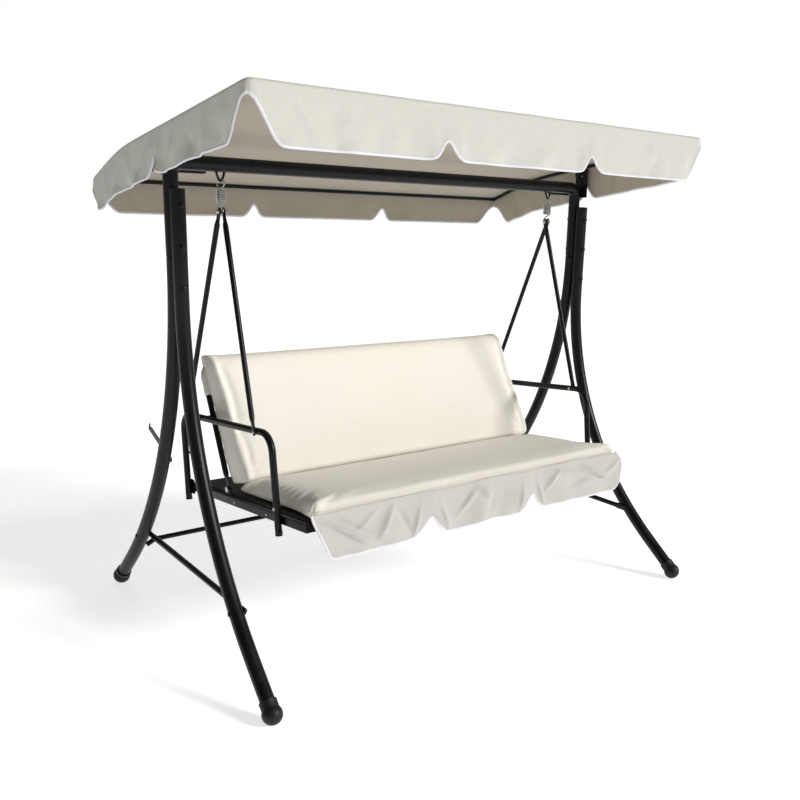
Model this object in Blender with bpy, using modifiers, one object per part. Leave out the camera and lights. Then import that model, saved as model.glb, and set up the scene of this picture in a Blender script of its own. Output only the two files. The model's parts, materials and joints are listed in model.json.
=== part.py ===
"""Canopy swing bench: a three-seat garden swing on a tubular steel stand.

The stand carries a tilting fabric canopy and, on two extension springs, a cushioned bench
with a hinged backrest. Metres, +Z up; the front faces -Y, with +X to the right of someone
looking at it. The origin is on the ground, midway between the four feet. "left" names the
-X side and "right" the +X side.
"""

import math

import bmesh
import bpy
from mathutils import Matrix, Vector

# ---- driving dimensions ------------------------------------------------------------------
GAP = 0.0003                    # clearance kept between pieces that touch
PRESSED_THIN = 0.27             # a tube end pressed flat: its half thickness and its half
PRESSED_WIDE = 1.32             # width, as shares of the tube's radius
BOLT_HOLE = 0.0045              # radius of the holes for the 8 mm bolts
SIDES = (("left", -1), ("right", 1))

# stand
LEG_RADIUS = 0.025
LEG_WALL = 0.0015
BAR_WALL = 0.0012               # wall of the braces, stretcher, hangers and crossbar
POST_X = 0.971                  # upright tubes, each side of the centre
POST_Y = 0.0252                 # the post's axis, and minus the front leg's
FOOT_Z = 0.033                  # centre of each ball foot
FOOT_RADIUS = 0.034
LEG_STRAIGHT_Z = 0.15           # below this height a leg runs straight to its foot
FRONT_BEND_Z = 1.25             # a leg curves outward below its bend height
FRONT_BEND_RADIUS = 1.43
FRONT_SPLAY = 0.066             # sideways spread for each metre outward
FRONT_TOP_Z = 1.6155
REAR_BEND_Z = 1.396             # also the joint between the corner post and the rear leg
REAR_BEND_RADIUS = 1.72
REAR_SPLAY = 0.027
BEAM_Z = 1.705
ELBOW_RADIUS = 0.036
BEAM_JOINT_X = 0.69
SWAGE_LENGTH = 0.034            # reduced tube end that plugs into its neighbour
SWAGE_RADIUS = 0.0212
SWAGE_SHARE = SWAGE_RADIUS / LEG_RADIUS
SHOULDER = 0.0008               # length of the step from a swaged end to the full tube
JOINT_GAP = 0.0016              # from a tube's end to its neighbour's full section
POST_BOLT_HEIGHTS = (1.565, 1.431, 1.297)
BRACE_RADIUS = 0.011
BRACE_FRONT_Z = 0.272
BRACE_REAR_Z = 0.288
STRETCHER_RADIUS = 0.010
STRETCHER_Z = 0.247
HOOK_Y, HOOK_Z = 0.196, 0.650   # root of the flat hook on each rear leg
HOOK_ANGLE = math.radians(24)
HOOK_LENGTH = 0.212

# canopy
PIVOT_Y, PIVOT_Z = 0.010, 1.7975
TILT_PLATE_X = 0.9981           # mid-thickness of the slotted plate
TILT_PLATE_THICKNESS = 0.003
TILT_SLOT_RADIUS = 0.038
TILT_KNOB_ANGLE = math.radians(-62.5)
TILT_SLOT_HALF_SPAN = math.radians(31)
TILT_SLOT_WIDTH = 0.0072
RAIL_RADIUS = 0.007
RAIL_BOLT_HOLE = 0.0034
RAIL_X = 1.0075
RAIL_FRONT_Y, RAIL_REAR_Y = -0.606, 0.629
RAIL_SLOPE_FRONT = 0.155        # fall per metre towards the back
RAIL_SLOPE_REAR = 0.36
RAIL_KINK_Y = 0.36
RAIL_KINK_WIDTH = 0.05
FABRIC_THICKNESS = 0.003
FABRIC_X = 1.021                # mid-thickness of the side valances
FABRIC_FRONT_Y, FABRIC_REAR_Y = -0.617, 0.640
FABRIC_LIFT = 0.0106            # fabric above the rails' axes
VALANCE_CORNER = 0.020
VALANCE_FLARE = 0.008
VALANCES = {"front": (3, 0.095, 0.160), "rear": (3, 0.070, 0.125), "side": (2, 0.072, 0.130)}

# suspension
HANG_X = 0.794
HANG_LOOP_Z = 1.652             # lowest point of the welded V loop's rod axis
LOOP_ROD_RADIUS = 0.004
LOOP_BEND_RADIUS = 0.008
LOOP_SPREAD = 0.0145
SPRING_WIRE = 0.00225
SPRING_COIL_RADIUS = 0.01525
SPRING_RING_RADIUS = 0.014
SPRING_TOP_RING_Z = 1.6446
SPRING_LOW_RING_Z = 1.5580
SPRING_TURNS = 7
SPRING_PITCH = 0.0056
EYE_Z = 1.5506
HANGER_RADIUS = 0.0095
FRONT_HANGER_FOOT = (-0.197, 0.8174)
REAR_HANGER_FOOT = (0.355, 0.770)

# bench
SEAT_SLOPE = 0.0918             # fall per metre towards the back
SEAT_Z = 0.497                  # side rails' axis height at Y = 0
SEAT_ANGLE = math.atan(SEAT_SLOPE)
ARM_X = 0.790
ARM_RADIUS = 0.0125
ARM_CORNERS = ((-0.333, 0.478), (-0.289, 0.8255), (0.4335, 0.7625), (0.409, 0.413))
ARM_BEND_RADIUS = 0.066
SIDE_RAIL_X = 0.7645
RAIL_WIDTH, RAIL_HEIGHT, RAIL_WALL = 0.024, 0.032, 0.0015
SEAT_FRONT_Y, SEAT_REAR_Y = -0.492, 0.397
CROSS_RAIL_X = 0.7521
FRONT_RAIL_Y, REAR_RAIL_Y = -0.478, 0.383
SLING_X = 0.7505
SLING_THICKNESS = 0.003
CROSSBAR_Y, CROSSBAR_Z = 0.2454, 0.7755
CROSSBAR_RADIUS = 0.0095
SEAT_CUSHION_X = 0.745
SEAT_CUSHION_FRONT, SEAT_CUSHION_REAR = -0.519, 0.085
SEAT_CUSHION_THICKNESS = 0.062
SKIRT_X = 0.775
SKIRT_Y = -0.5310
SKIRT_TOP_Z = 0.600
SKIRT_NOTCH, SKIRT_DROP = 0.102, 0.168

# backrest, in its own frame: "along" runs up the frame and "out" towards the sitter
BACK_PIVOT_Y, BACK_PIVOT_Z = 0.108, 0.523
BACK_LEAN = math.radians(24.3)
BACK_X = 0.757
BACK_RADIUS = 0.011
BACK_LENGTH = 0.500
BACK_FLAT_LENGTH = 0.045        # pressed ends that turn on the bracket pins
BACK_CORNER_RADIUS = 0.060
BACK_CUSHION_X = 0.744
BACK_CUSHION_SPAN = (0.062, 0.525)
BACK_CUSHION_DEPTH = (0.0135, 0.084)

# colours: linear RGB, roughness, metallic
FINISHES = {
    "powder_coat": ((0.012, 0.012, 0.015), 0.42, 0.0),
    "zinc": ((0.62, 0.62, 0.60), 0.35, 1.0),
    "black_plastic": ((0.015, 0.015, 0.016), 0.55, 0.0),
    "canopy_fabric": ((0.78, 0.77, 0.70), 0.85, 0.0),
    "cushion_fabric": ((0.84, 0.81, 0.72), 0.88, 0.0),
    "sling_mesh": ((0.020, 0.020, 0.022), 0.80, 0.0),
}


# ---- scene helpers -----------------------------------------------------------------------
def clear_scene():
    """Remove every object, so that the script starts from an empty scene."""
    for old in list(bpy.data.objects):
        bpy.data.objects.remove(old, do_unlink=True)


def new_collection(name):
    """Make a collection under the scene's own and return it."""
    made = bpy.data.collections.new(name)
    bpy.context.scene.collection.children.link(made)
    return made


def make_materials():
    """Make one Principled material for each finish."""
    made = {}
    for name, (colour, roughness, metallic) in FINISHES.items():
        material = bpy.data.materials.new(name)
        material.use_nodes = True
        shader = material.node_tree.nodes["Principled BSDF"]
        shader.inputs["Base Color"].default_value = (*colour, 1.0)
        shader.inputs["Roughness"].default_value = roughness
        shader.inputs["Metallic"].default_value = metallic
        made[name] = material
    return made


clear_scene()
PARTS = new_collection("canopy_swing_bench")
CUTTERS = new_collection("cutters")
MATERIALS = make_materials()


def place(name, mesh, finish, matrix=None):
    """Put a mesh in the parts collection under its node name, shaded smooth."""
    made = bpy.data.objects.new(name, mesh)
    if matrix is not None:
        made.matrix_world = matrix
    mesh.materials.clear()
    mesh.materials.append(MATERIALS[finish])
    mesh.shade_smooth()
    mesh.set_sharp_from_angle(angle=math.radians(40))
    PARTS.objects.link(made)
    return made


def evaluated_mesh(source):
    """Return the welded mesh of an object with its modifiers, and remove the object."""
    bpy.context.view_layer.update()
    graph = bpy.context.evaluated_depsgraph_get()
    mesh = bpy.data.meshes.new_from_object(source.evaluated_get(graph))
    work = bmesh.new()
    work.from_mesh(mesh)
    bmesh.ops.remove_doubles(work, verts=work.verts, dist=0.00002)
    bmesh.ops.recalc_face_normals(work, faces=work.faces)
    work.to_mesh(mesh)
    work.free()
    bpy.data.objects.remove(source, do_unlink=True)
    return mesh


def drill(target, start, end, radius):
    """Cut a round hole through an object from one point to another."""
    start, end = Vector(start), Vector(end)
    bpy.ops.mesh.primitive_cylinder_add(vertices=12, radius=radius, depth=(end - start).length)
    cutter = bpy.context.object
    cutter.name = "cut_" + target.name
    cutter.matrix_world = (Matrix.Translation((start + end) / 2)
                           @ (end - start).to_track_quat("Z", "Y").to_matrix().to_4x4())
    add_cut(target, cutter)


def add_cut(target, cutter, operation="DIFFERENCE"):
    """Give the target a Boolean with the cutter, and hide the cutter."""
    for holder in list(cutter.users_collection):
        holder.objects.unlink(cutter)
    CUTTERS.objects.link(cutter)
    cutter.hide_render = True
    cutter.display_type = "WIRE"
    cut = target.modifiers.new("cut", "BOOLEAN")
    cut.operation = operation
    cut.object = cutter
    cut.solver = "EXACT"


# ---- shape helpers -----------------------------------------------------------------------
def rounded_path(corners, radius, steps=6):
    """Return a path through 3-D corners whose inner corners are rounded by arcs."""
    corners = [Vector(point) for point in corners]
    path = [corners[0]]
    for before, corner, after in zip(corners, corners[1:], corners[2:]):
        inward = (before - corner).normalized()
        onward = (after - corner).normalized()
        half = inward.angle(onward) / 2
        reach = radius / math.tan(half)
        centre = corner + (inward + onward).normalized() * (radius / math.sin(half))
        first = corner + inward * reach - centre
        turn_axis = first.cross(corner + onward * reach - centre).normalized()
        sweep_angle = math.pi - 2 * half
        for step in range(steps + 1):
            path.append(centre + Matrix.Rotation(sweep_angle * step / steps, 3, turn_axis) @ first)
    path.append(corners[-1])
    return path


def sweep_mesh(points, radius, wall=None, resolution=2, scales=None):
    """Return a round bar, or a tube if it has a wall, along a path.

    resolution is the curve's bevel resolution, and scales holds the radius factor at
    each point.
    """
    data = bpy.data.curves.new("sweep", "CURVE")
    data.dimensions = "3D"
    data.bevel_depth = radius
    data.bevel_resolution = resolution
    data.use_fill_caps = wall is None
    line = data.splines.new("POLY")
    line.points.add(len(points) - 1)
    for index, (point, position) in enumerate(zip(line.points, points)):
        point.co = (*position, 1.0)
        point.radius = scales[index] if scales else 1.0
    holder = bpy.data.objects.new("sweep", data)
    PARTS.objects.link(holder)
    if wall is not None:
        shell = holder.modifiers.new("wall", "SOLIDIFY")
        shell.thickness = wall
        shell.offset = -1.0
        shell.use_even_offset = True
    return evaluated_mesh(holder)


def sweep(name, points, radius, finish, **options):
    """Make a named round bar or tube along a path."""
    return place(name, sweep_mesh(points, radius, **options), finish)


def turned(name, profile, finish, base, direction, steps=12):
    """Turn a (radius, height) profile, listed from its top down, about a direction."""
    mesh = bpy.data.meshes.new(name)
    rim = [(radius, 0.0, height) for radius, height in profile]
    mesh.from_pydata(rim, [(index, index + 1) for index in range(len(rim) - 1)], [])
    holder = bpy.data.objects.new("profile", mesh)
    PARTS.objects.link(holder)
    screw = holder.modifiers.new("turn", "SCREW")
    screw.steps = steps
    screw.render_steps = steps
    screw.use_merge_vertices = True
    screw.merge_threshold = 0.00005
    matrix = (Matrix.Translation(Vector(base))
              @ Vector(direction).to_track_quat("Z", "Y").to_matrix().to_4x4())
    return place(name, evaluated_mesh(holder), finish, matrix)


def plate_mesh(loops, thickness):
    """Return a flat plate from closed (Y, Z) outlines, the later ones being its holes.

    The plate lies in the YZ plane, centred on X = 0.
    """
    data = bpy.data.curves.new("plate", "CURVE")
    data.dimensions = "2D"
    data.fill_mode = "BOTH"
    data.extrude = thickness / 2
    for loop in loops:
        line = data.splines.new("POLY")
        line.points.add(len(loop) - 1)
        line.use_cyclic_u = True
        for point, (across, up) in zip(line.points, loop):
            point.co = (across, up, 0.0, 1.0)
    holder = bpy.data.objects.new("plate", data)
    PARTS.objects.link(holder)
    mesh = evaluated_mesh(holder)
    mesh.transform(Matrix(((0, 0, 1, 0), (1, 0, 0, 0), (0, 1, 0, 0), (0, 0, 0, 1))))
    return mesh


def circle(centre, radius, count=12):
    """Return a round outline about a (Y, Z) centre."""
    return arc(centre, radius, 0.0, 2 * math.pi * (count - 1) / count, count)


def arc(centre, radius, start, end, count):
    """Return points on an arc about a (Y, Z) centre, angles measured from +Y to +Z."""
    turns = [start + (end - start) * step / (count - 1) for step in range(count)]
    return [(centre[0] + radius * math.cos(turn), centre[1] + radius * math.sin(turn))
            for turn in turns]


def block(name, size, finish, matrix, bevel=0.0, segments=2):
    """Make a box of a given size about a matrix's origin, with rounded edges if asked."""
    work = bmesh.new()
    bmesh.ops.create_cube(work, size=1.0, matrix=Matrix.Diagonal((*size, 1.0)))
    mesh = bpy.data.meshes.new(name)
    work.to_mesh(mesh)
    work.free()
    made = place(name, mesh, finish, matrix)
    if bevel:
        rounding = made.modifiers.new("rounding", "BEVEL")
        rounding.width = bevel
        rounding.segments = segments
        rounding.limit_method = "NONE"
    return made


def box_tube(name, start, end, size, wall, finish):
    """Make an open-ended rectangular tube between two points; size is (across, tall)."""
    start, end = Vector(start), Vector(end)
    along = (end - start).normalized()
    up = Vector((0, 0, 1)) - along * along.z
    up.normalize()
    across = along.cross(up)
    work = bmesh.new()
    bmesh.ops.create_cube(work, size=1.0,
                          matrix=Matrix.Diagonal(((end - start).length, size[0], size[1], 1.0)))
    caps = [face for face in work.faces if abs(face.normal.x) > 0.9]
    bmesh.ops.delete(work, geom=caps, context="FACES_ONLY")
    mesh = bpy.data.meshes.new(name)
    work.to_mesh(mesh)
    work.free()
    turn = Matrix((along, -across, up)).transposed().to_4x4()
    made = place(name, mesh, finish, Matrix.Translation((start + end) / 2) @ turn)
    shell = made.modifiers.new("wall", "SOLIDIFY")
    shell.thickness = wall
    shell.offset = -1.0
    return made


def flattened_bar(name, start, end, radius, finish, overrun=0.014, pinch=0.045, wall=None):
    """Make a straight tube whose ends are pressed flat in the YZ plane.

    start and end are the bolt centres. Each end runs past its bolt by overrun, is flat for
    the pinch length and then swells to the full round section.
    """
    start, end = Vector(start), Vector(end)
    along = (end - start).normalized()
    length = (end - start).length
    stations = [-overrun, pinch * 0.45, pinch, length - pinch, length - pinch * 0.45,
                length + overrun]
    mesh = sweep_mesh([start + along * station for station in stations], radius, wall=wall)
    flat_normal = Vector((1, 0, 0))
    flat_normal = (flat_normal - along * flat_normal.dot(along)).normalized()
    in_plane = along.cross(flat_normal)
    for vertex in mesh.vertices:
        station = (vertex.co - start).dot(along)
        reach = min(station, length - station)
        if reach < pinch * 0.7:
            axis_point = start + along * station
            offset = vertex.co - axis_point
            vertex.co = (axis_point + flat_normal * offset.dot(flat_normal) * PRESSED_THIN
                         + in_plane * offset.dot(in_plane) * PRESSED_WIDE)
    return place(name, mesh, finish)


def bolt(name, base, direction, grip, radius=0.004, head=(0.0085, 0.005), nut=(0.0070, 0.0065)):
    """Make a domed bolt with its nut: the head is at base, and the shank runs along
    direction for the grip length to the nut."""
    head_radius, head_height = head
    nut_radius, nut_height = nut
    profile = [(0.0, grip + nut_height + 0.003), (radius, grip + nut_height + 0.003),
               (radius, grip + nut_height), (nut_radius, grip + nut_height),
               (nut_radius, grip), (radius, grip), (radius, 0.0), (head_radius, 0.0),
               (head_radius * 0.82, -head_height * 0.7), (head_radius * 0.4, -head_height),
               (0.0, -head_height)]
    return turned(name, profile, "zinc", base, direction, steps=8)


# ---- stand -------------------------------------------------------------------------------
def leg_point(z, facing):
    """Return a leg's axis point at a height: facing is -1 for a front leg, +1 for a rear.

    The leg leaves its upright line on a circular arc, tangent at the bend height, and runs
    straight below LEG_STRAIGHT_Z. It spreads sideways in proportion to its reach.
    """
    bend_z = FRONT_BEND_Z if facing < 0 else REAR_BEND_Z
    radius = FRONT_BEND_RADIUS if facing < 0 else REAR_BEND_RADIUS
    splay = FRONT_SPLAY if facing < 0 else REAR_SPLAY
    drop = max(0.0, bend_z - max(z, LEG_STRAIGHT_Z))
    root = math.sqrt(radius ** 2 - drop ** 2)
    reach = radius - root + max(0.0, LEG_STRAIGHT_Z - z) * drop / root
    return Vector((POST_X + splay * reach, facing * (POST_Y + reach), z))


def leg_path(facing, steps=9):
    """Return the axis of a right-hand leg from its top to just inside its foot."""
    bend_z = FRONT_BEND_Z if facing < 0 else REAR_BEND_Z
    top = [leg_point(FRONT_TOP_Z, facing)] if facing < 0 else []
    heights = [bend_z + (LEG_STRAIGHT_Z - bend_z) * step / steps for step in range(steps + 1)]
    return top + [leg_point(z, facing) for z in heights] + [leg_point(FOOT_Z + 0.002, facing)]


def mirrored(points, side):
    """Return right-hand points moved to a side, -1 being the left."""
    return [Vector((point[0] * side, point[1], point[2])) for point in points]


def build_legs():
    """Four curved legs, each with its ball foot, and the caps of the front ones."""
    for label, side in SIDES:
        for facing, word in ((-1, "front"), (1, "rear")):
            path = mirrored(leg_path(facing), side)
            leg = sweep(f"{word}_leg_{label}", path, LEG_RADIUS, "powder_coat", wall=LEG_WALL,
                        resolution=3)
            heights = POST_BOLT_HEIGHTS if facing < 0 else POST_BOLT_HEIGHTS[2:]
            for z in heights:
                drill(leg, (side * POST_X, facing * 0.08, z), (side * POST_X, 0.0, z), BOLT_HOLE)
            build_foot(f"foot_{word}_{label}", path)
        plug_radius = (LEG_RADIUS - LEG_WALL) * 0.935
        cap = [(0.0, 0.0052), (LEG_RADIUS * 0.7, 0.0045), (LEG_RADIUS, 0.0020),
               (LEG_RADIUS, GAP), (plug_radius, GAP), (plug_radius, -0.014), (0.0, -0.014)]
        turned(f"front_leg_cap_{label}", cap, "black_plastic",
               (side * POST_X, -POST_Y, FRONT_TOP_Z), (0, 0, 1))


def build_foot(name, path):
    """A ball cup round a leg's end, cut flat where it stands on the ground."""
    end = path[-1]
    upward = (path[-2] - path[-1]).normalized()
    centre = Vector((end.x, end.y, FOOT_Z))
    work = bmesh.new()
    bmesh.ops.create_uvsphere(work, u_segments=14, v_segments=8, radius=FOOT_RADIUS)
    mesh = bpy.data.meshes.new(name)
    work.to_mesh(mesh)
    work.free()
    foot = place(name, mesh, "black_plastic", Matrix.Translation(centre))
    bpy.ops.mesh.primitive_cube_add(size=0.1, location=(centre.x, centre.y, -0.05))
    ground = bpy.context.object
    ground.name = "cut_ground_" + name
    add_cut(foot, ground)
    drill(foot, end - upward * 0.0015, end + upward * 0.06, LEG_RADIUS * 1.048)


def build_posts():
    """Corner posts with their elbows, the beam between them and the bolts to the legs."""
    tube = {"radius": LEG_RADIUS, "finish": "powder_coat", "wall": LEG_WALL, "resolution": 3}
    for label, side in SIDES:
        neck = Vector((side * POST_X, POST_Y, REAR_BEND_Z + JOINT_GAP))
        corners = [neck, (side * POST_X, POST_Y, BEAM_Z), (side * BEAM_JOINT_X, POST_Y, BEAM_Z)]
        path = rounded_path(corners, ELBOW_RADIUS)
        path = [neck - Vector((0, 0, SWAGE_LENGTH)), neck - Vector((0, 0, SHOULDER))] + path
        scales = [SWAGE_SHARE] * 2 + [1.0] * (len(path) - 2)
        post = sweep(f"corner_post_{label}", path, scales=scales, **tube)
        for number, z in enumerate(POST_BOLT_HEIGHTS, start=1):
            if number < 3:
                drill(post, (side * POST_X, 0.0, z), (side * POST_X, 0.08, z), BOLT_HOLE)
            bolt(f"post_bolt_{label}_{number}", (side * POST_X, -POST_Y - LEG_RADIUS - GAP, z),
                 (0, 1, 0), 2 * (POST_Y + LEG_RADIUS) + 0.0050)
    reach = BEAM_JOINT_X - JOINT_GAP
    stations = (reach + SWAGE_LENGTH, reach + SHOULDER, reach)
    path = [(-x, POST_Y, BEAM_Z) for x in stations]
    path += [(x, POST_Y, BEAM_Z) for x in reversed(stations)]
    scales = [SWAGE_SHARE] * 2 + [1.0] * 2 + [SWAGE_SHARE] * 2
    sweep("top_beam", path, scales=scales, **tube)


def build_braces():
    """Side braces between the legs, and the stretcher between the rear legs."""
    for label, side in SIDES:
        ends = []
        for facing, z in ((-1, BRACE_FRONT_Z), (1, BRACE_REAR_Z)):
            axis = leg_point(z, facing)
            inset = LEG_RADIUS * 1.01 + GAP + BRACE_RADIUS * PRESSED_THIN
            ends.append((side * (axis.x - inset), axis.y, z))
        flattened_bar(f"side_brace_{label}", ends[0], ends[1], BRACE_RADIUS, "powder_coat",
                      wall=BAR_WALL)
    axis = leg_point(STRETCHER_Z, 1)
    reach = axis.x - LEG_RADIUS - 0.0035
    half = [(reach, axis.y, STRETCHER_Z - 0.018), (reach - 0.035, axis.y, STRETCHER_Z),
            (0.0, axis.y, STRETCHER_Z)]
    bend = rounded_path(half, 0.05, steps=4)
    path = mirrored(bend[:-1], -1) + list(reversed(bend[:-1]))
    sweep("rear_stretcher", path, STRETCHER_RADIUS, "powder_coat", wall=BAR_WALL)


def build_leg_hook():
    """A flat steel hook standing rearward from the inner side of the left rear leg."""
    wide, mouth, spine, tip, length = 0.011, 0.009, 0.0055, 0.0065, HOOK_LENGTH
    outline = arc((0.0, 0.0), wide, math.pi / 2, 3 * math.pi / 2, 7)
    outline += [(length - 0.004, -wide), (length, -wide + 0.004), (length, wide + 0.005)]
    outline += [(length - 0.006, wide + 0.005), (length - tip, 0.0)]
    outline += arc((length - tip - mouth / 2, -wide + spine + mouth / 2), mouth / 2,
                   -0.2, -math.pi + 0.2, 6)
    outline += [(length - tip - mouth, wide)]
    lean = Matrix.Rotation(HOOK_ANGLE, 4, "X")
    axis = leg_point(HOOK_Z, 1)
    place_at = (-(axis.x - LEG_RADIUS - 0.0035), HOOK_Y, HOOK_Z)
    place("rear_leg_hook_left", plate_mesh([outline], 0.004), "powder_coat",
          Matrix.Translation(place_at) @ lean)


# ---- canopy ------------------------------------------------------------------------------
def rail_height(y):
    """Return the side rails' axis height: two straight runs with a smooth bend between."""
    bend = math.log1p(math.exp((y - RAIL_KINK_Y) / RAIL_KINK_WIDTH)) * RAIL_KINK_WIDTH
    return (PIVOT_Z - RAIL_SLOPE_FRONT * (y - PIVOT_Y)
            - (RAIL_SLOPE_REAR - RAIL_SLOPE_FRONT) * bend)


def build_tilt_plates():
    """Slotted plates on the posts, with the bolts and knobs that hold the canopy."""
    knob_y = PIVOT_Y + TILT_SLOT_RADIUS * math.cos(TILT_KNOB_ANGLE)
    knob_z = PIVOT_Z + TILT_SLOT_RADIUS * math.sin(TILT_KNOB_ANGLE)
    pivot = (PIVOT_Y, PIVOT_Z)
    first = TILT_KNOB_ANGLE - TILT_SLOT_HALF_SPAN
    last = TILT_KNOB_ANGLE + TILT_SLOT_HALF_SPAN
    slot = arc(pivot, TILT_SLOT_RADIUS + TILT_SLOT_WIDTH / 2, first, last, 9)
    slot += reversed(arc(pivot, TILT_SLOT_RADIUS - TILT_SLOT_WIDTH / 2, first, last, 9))
    outline = [(-0.024, 1.664), (0.040, 1.664), (0.048, 1.672), (0.048, 1.779)]
    outline += arc(pivot, 0.0066, math.pi / 3, 2 * math.pi / 3, 4)
    outline += [(-0.024, 1.788)]
    holes = [circle(pivot, RAIL_BOLT_HOLE), slot]
    for label, side in SIDES:
        place(f"tilt_plate_{label}", plate_mesh([outline] + holes, TILT_PLATE_THICKNESS),
              "powder_coat", Matrix.Translation((side * TILT_PLATE_X, 0, 0)))
        grip = RAIL_RADIUS * 2 + 0.0062
        bolt(f"canopy_pivot_bolt_{label}",
             (side * (RAIL_X + RAIL_RADIUS + GAP), PIVOT_Y, PIVOT_Z), (-side, 0, 0), grip,
             radius=0.003, head=(0.0058, 0.0028), nut=(0.0056, 0.0048))
        knob = [(0.0, 0.0243), (0.0095, 0.0243), (0.0125, 0.0215), (0.0125, 0.0120),
                (0.0080, 0.0085), (0.0030, 0.0085), (0.0030, 0.0), (0.0056, 0.0),
                (0.0056, -0.0030), (0.0, -0.0030)]
        turned(f"tilt_knob_{label}", knob, "black_plastic",
               (side * (TILT_PLATE_X + 0.0056), knob_y, knob_z), (-side, 0, 0), steps=14)
    return knob_y, knob_z


def build_canopy_frame(knob_y, knob_z):
    """Side rails with their tilt lugs, and the three rails across."""
    stations = [RAIL_FRONT_Y, PIVOT_Y] + [0.22 + 0.04 * step for step in range(9)] + [RAIL_REAR_Y]
    for label, side in SIDES:
        path = [(side * RAIL_X, y, rail_height(y)) for y in stations]
        rail = sweep(f"canopy_side_rail_{label}", path, RAIL_RADIUS, "powder_coat")
        outline = arc((PIVOT_Y, PIVOT_Z), 0.0065, TILT_KNOB_ANGLE + math.pi / 2,
                      TILT_KNOB_ANGLE + 3 * math.pi / 2, 6)
        outline += arc((knob_y, knob_z), 0.0065, TILT_KNOB_ANGLE - math.pi / 2,
                       TILT_KNOB_ANGLE + math.pi / 2, 6)
        lug = place(f"lug_{label}", plate_mesh([outline], 0.003), "powder_coat",
                    Matrix.Translation((side * (RAIL_X - 0.0053), 0, 0)))
        add_cut(rail, lug, "UNION")
        near, far = side * (RAIL_X - 0.025), side * (RAIL_X + 0.025)
        for y, z in ((PIVOT_Y, PIVOT_Z), (knob_y, knob_z)):
            drill(rail, (near, y, z), (far, y, z), RAIL_BOLT_HOLE)
    across = RAIL_X - RAIL_RADIUS - GAP
    for word, y in (("front", RAIL_FRONT_Y + 0.008), ("ridge", RAIL_KINK_Y),
                    ("rear", RAIL_REAR_Y - 0.008)):
        ends = [(-across, y, rail_height(y)), (across, y, rail_height(y))]
        sweep(f"canopy_{word}_rail", ends, RAIL_RADIUS, "powder_coat", wall=0.001)


def scallop(position, kind):
    """Return a valance's depth at a position from 0 to 1 along its edge.

    Each panel hangs in a flat-bottomed curve between notches, and the notches at the
    canopy's corners reach almost up to the edge.
    """
    panels, notch, drop = VALANCES[kind]
    panel = min(int(position * panels), panels - 1)
    within = position * panels - panel
    start = VALANCE_CORNER if panel == 0 else notch
    end = VALANCE_CORNER if panel == panels - 1 else notch
    base = start + (end - start) * within
    return base + (drop - base) * (1 - abs(2 * within - 1) ** 3)


def build_canopy_fabric():
    """The fabric cover: a bent roof with scalloped valances on all four sides."""
    columns, rows = 18, 20
    xs = [-FABRIC_X + 2 * FABRIC_X * step / columns for step in range(columns + 1)]
    span = FABRIC_REAR_Y - FABRIC_FRONT_Y
    ys = [FABRIC_FRONT_Y + span * step / rows for step in range(rows + 1)]
    points = [(x, y, rail_height(y) + FABRIC_LIFT) for y in ys for x in xs]
    stride = columns + 1
    faces = [(row * stride + column, row * stride + column + 1,
              (row + 1) * stride + column + 1, (row + 1) * stride + column)
             for row in range(rows) for column in range(columns)]
    rim = [(column, (0, -1), scallop(column / columns, "front")) for column in range(columns)]
    rim += [(row * stride + columns, (1, 0), scallop(row / rows, "side")) for row in range(rows)]
    rim += [(rows * stride + column, (0, 1), scallop(column / columns, "rear"))
            for column in range(columns, 0, -1)]
    rim += [(row * stride, (-1, 0), scallop(row / rows, "side")) for row in range(rows, 0, -1)]
    first = len(points)
    for top, outward, depth in rim:
        x, y, z = points[top]
        for share in (0.5, 1.0):
            flare = VALANCE_FLARE * share * depth / 0.16
            points.append((x + outward[0] * flare, y + outward[1] * flare, z - depth * share))
    count = len(rim)
    for index in range(count):
        after = (index + 1) % count
        ring = [(rim[index][0], rim[after][0])]
        ring += [(first + 2 * index + level, first + 2 * after + level) for level in (0, 1)]
        for (upper, upper_next), (lower, lower_next) in zip(ring, ring[1:]):
            faces.append((upper, lower, lower_next, upper_next))
    mesh = bpy.data.meshes.new("canopy_fabric")
    mesh.from_pydata(points, [], faces)
    cover = place("canopy_fabric", mesh, "canopy_fabric")
    shell = cover.modifiers.new("cloth", "SOLIDIFY")
    shell.thickness = FABRIC_THICKNESS
    shell.offset = 0.0


# ---- suspension --------------------------------------------------------------------------
def spring_path():
    """Return the wire's axis of an extension spring about the Z axis.

    A hook ring in the YZ plane stands above and below the coil. Each ring leaves the
    coil's axis line, goes most of the way round, and the wire then joins the coil.
    """
    ring_steps, coil_steps = 10, 9
    top, low, ring = SPRING_TOP_RING_Z, SPRING_LOW_RING_Z, SPRING_RING_RADIUS
    body = SPRING_TURNS * SPRING_PITCH
    middle = (top + low) / 2
    path = []
    for step in range(ring_steps + 1):
        turn = math.radians(-40 + 310 * step / ring_steps)
        path.append((0.0, ring * math.cos(turn), top + ring * math.sin(turn)))
    path.append((SPRING_COIL_RADIUS * 0.4, -0.002, top - ring - 0.0035))
    for step in range(SPRING_TURNS * coil_steps + 1):
        turn = 2 * math.pi * step / coil_steps
        path.append((SPRING_COIL_RADIUS * math.cos(turn), SPRING_COIL_RADIUS * math.sin(turn),
                     middle + body / 2 - body * step / (SPRING_TURNS * coil_steps)))
    path.append((SPRING_COIL_RADIUS * 0.4, 0.002, low + ring + 0.0035))
    for step in range(ring_steps + 1):
        turn = math.radians(90 + 310 * step / ring_steps)
        path.append((0.0, -ring * math.cos(turn), low + ring * math.sin(turn)))
    return path


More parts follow.
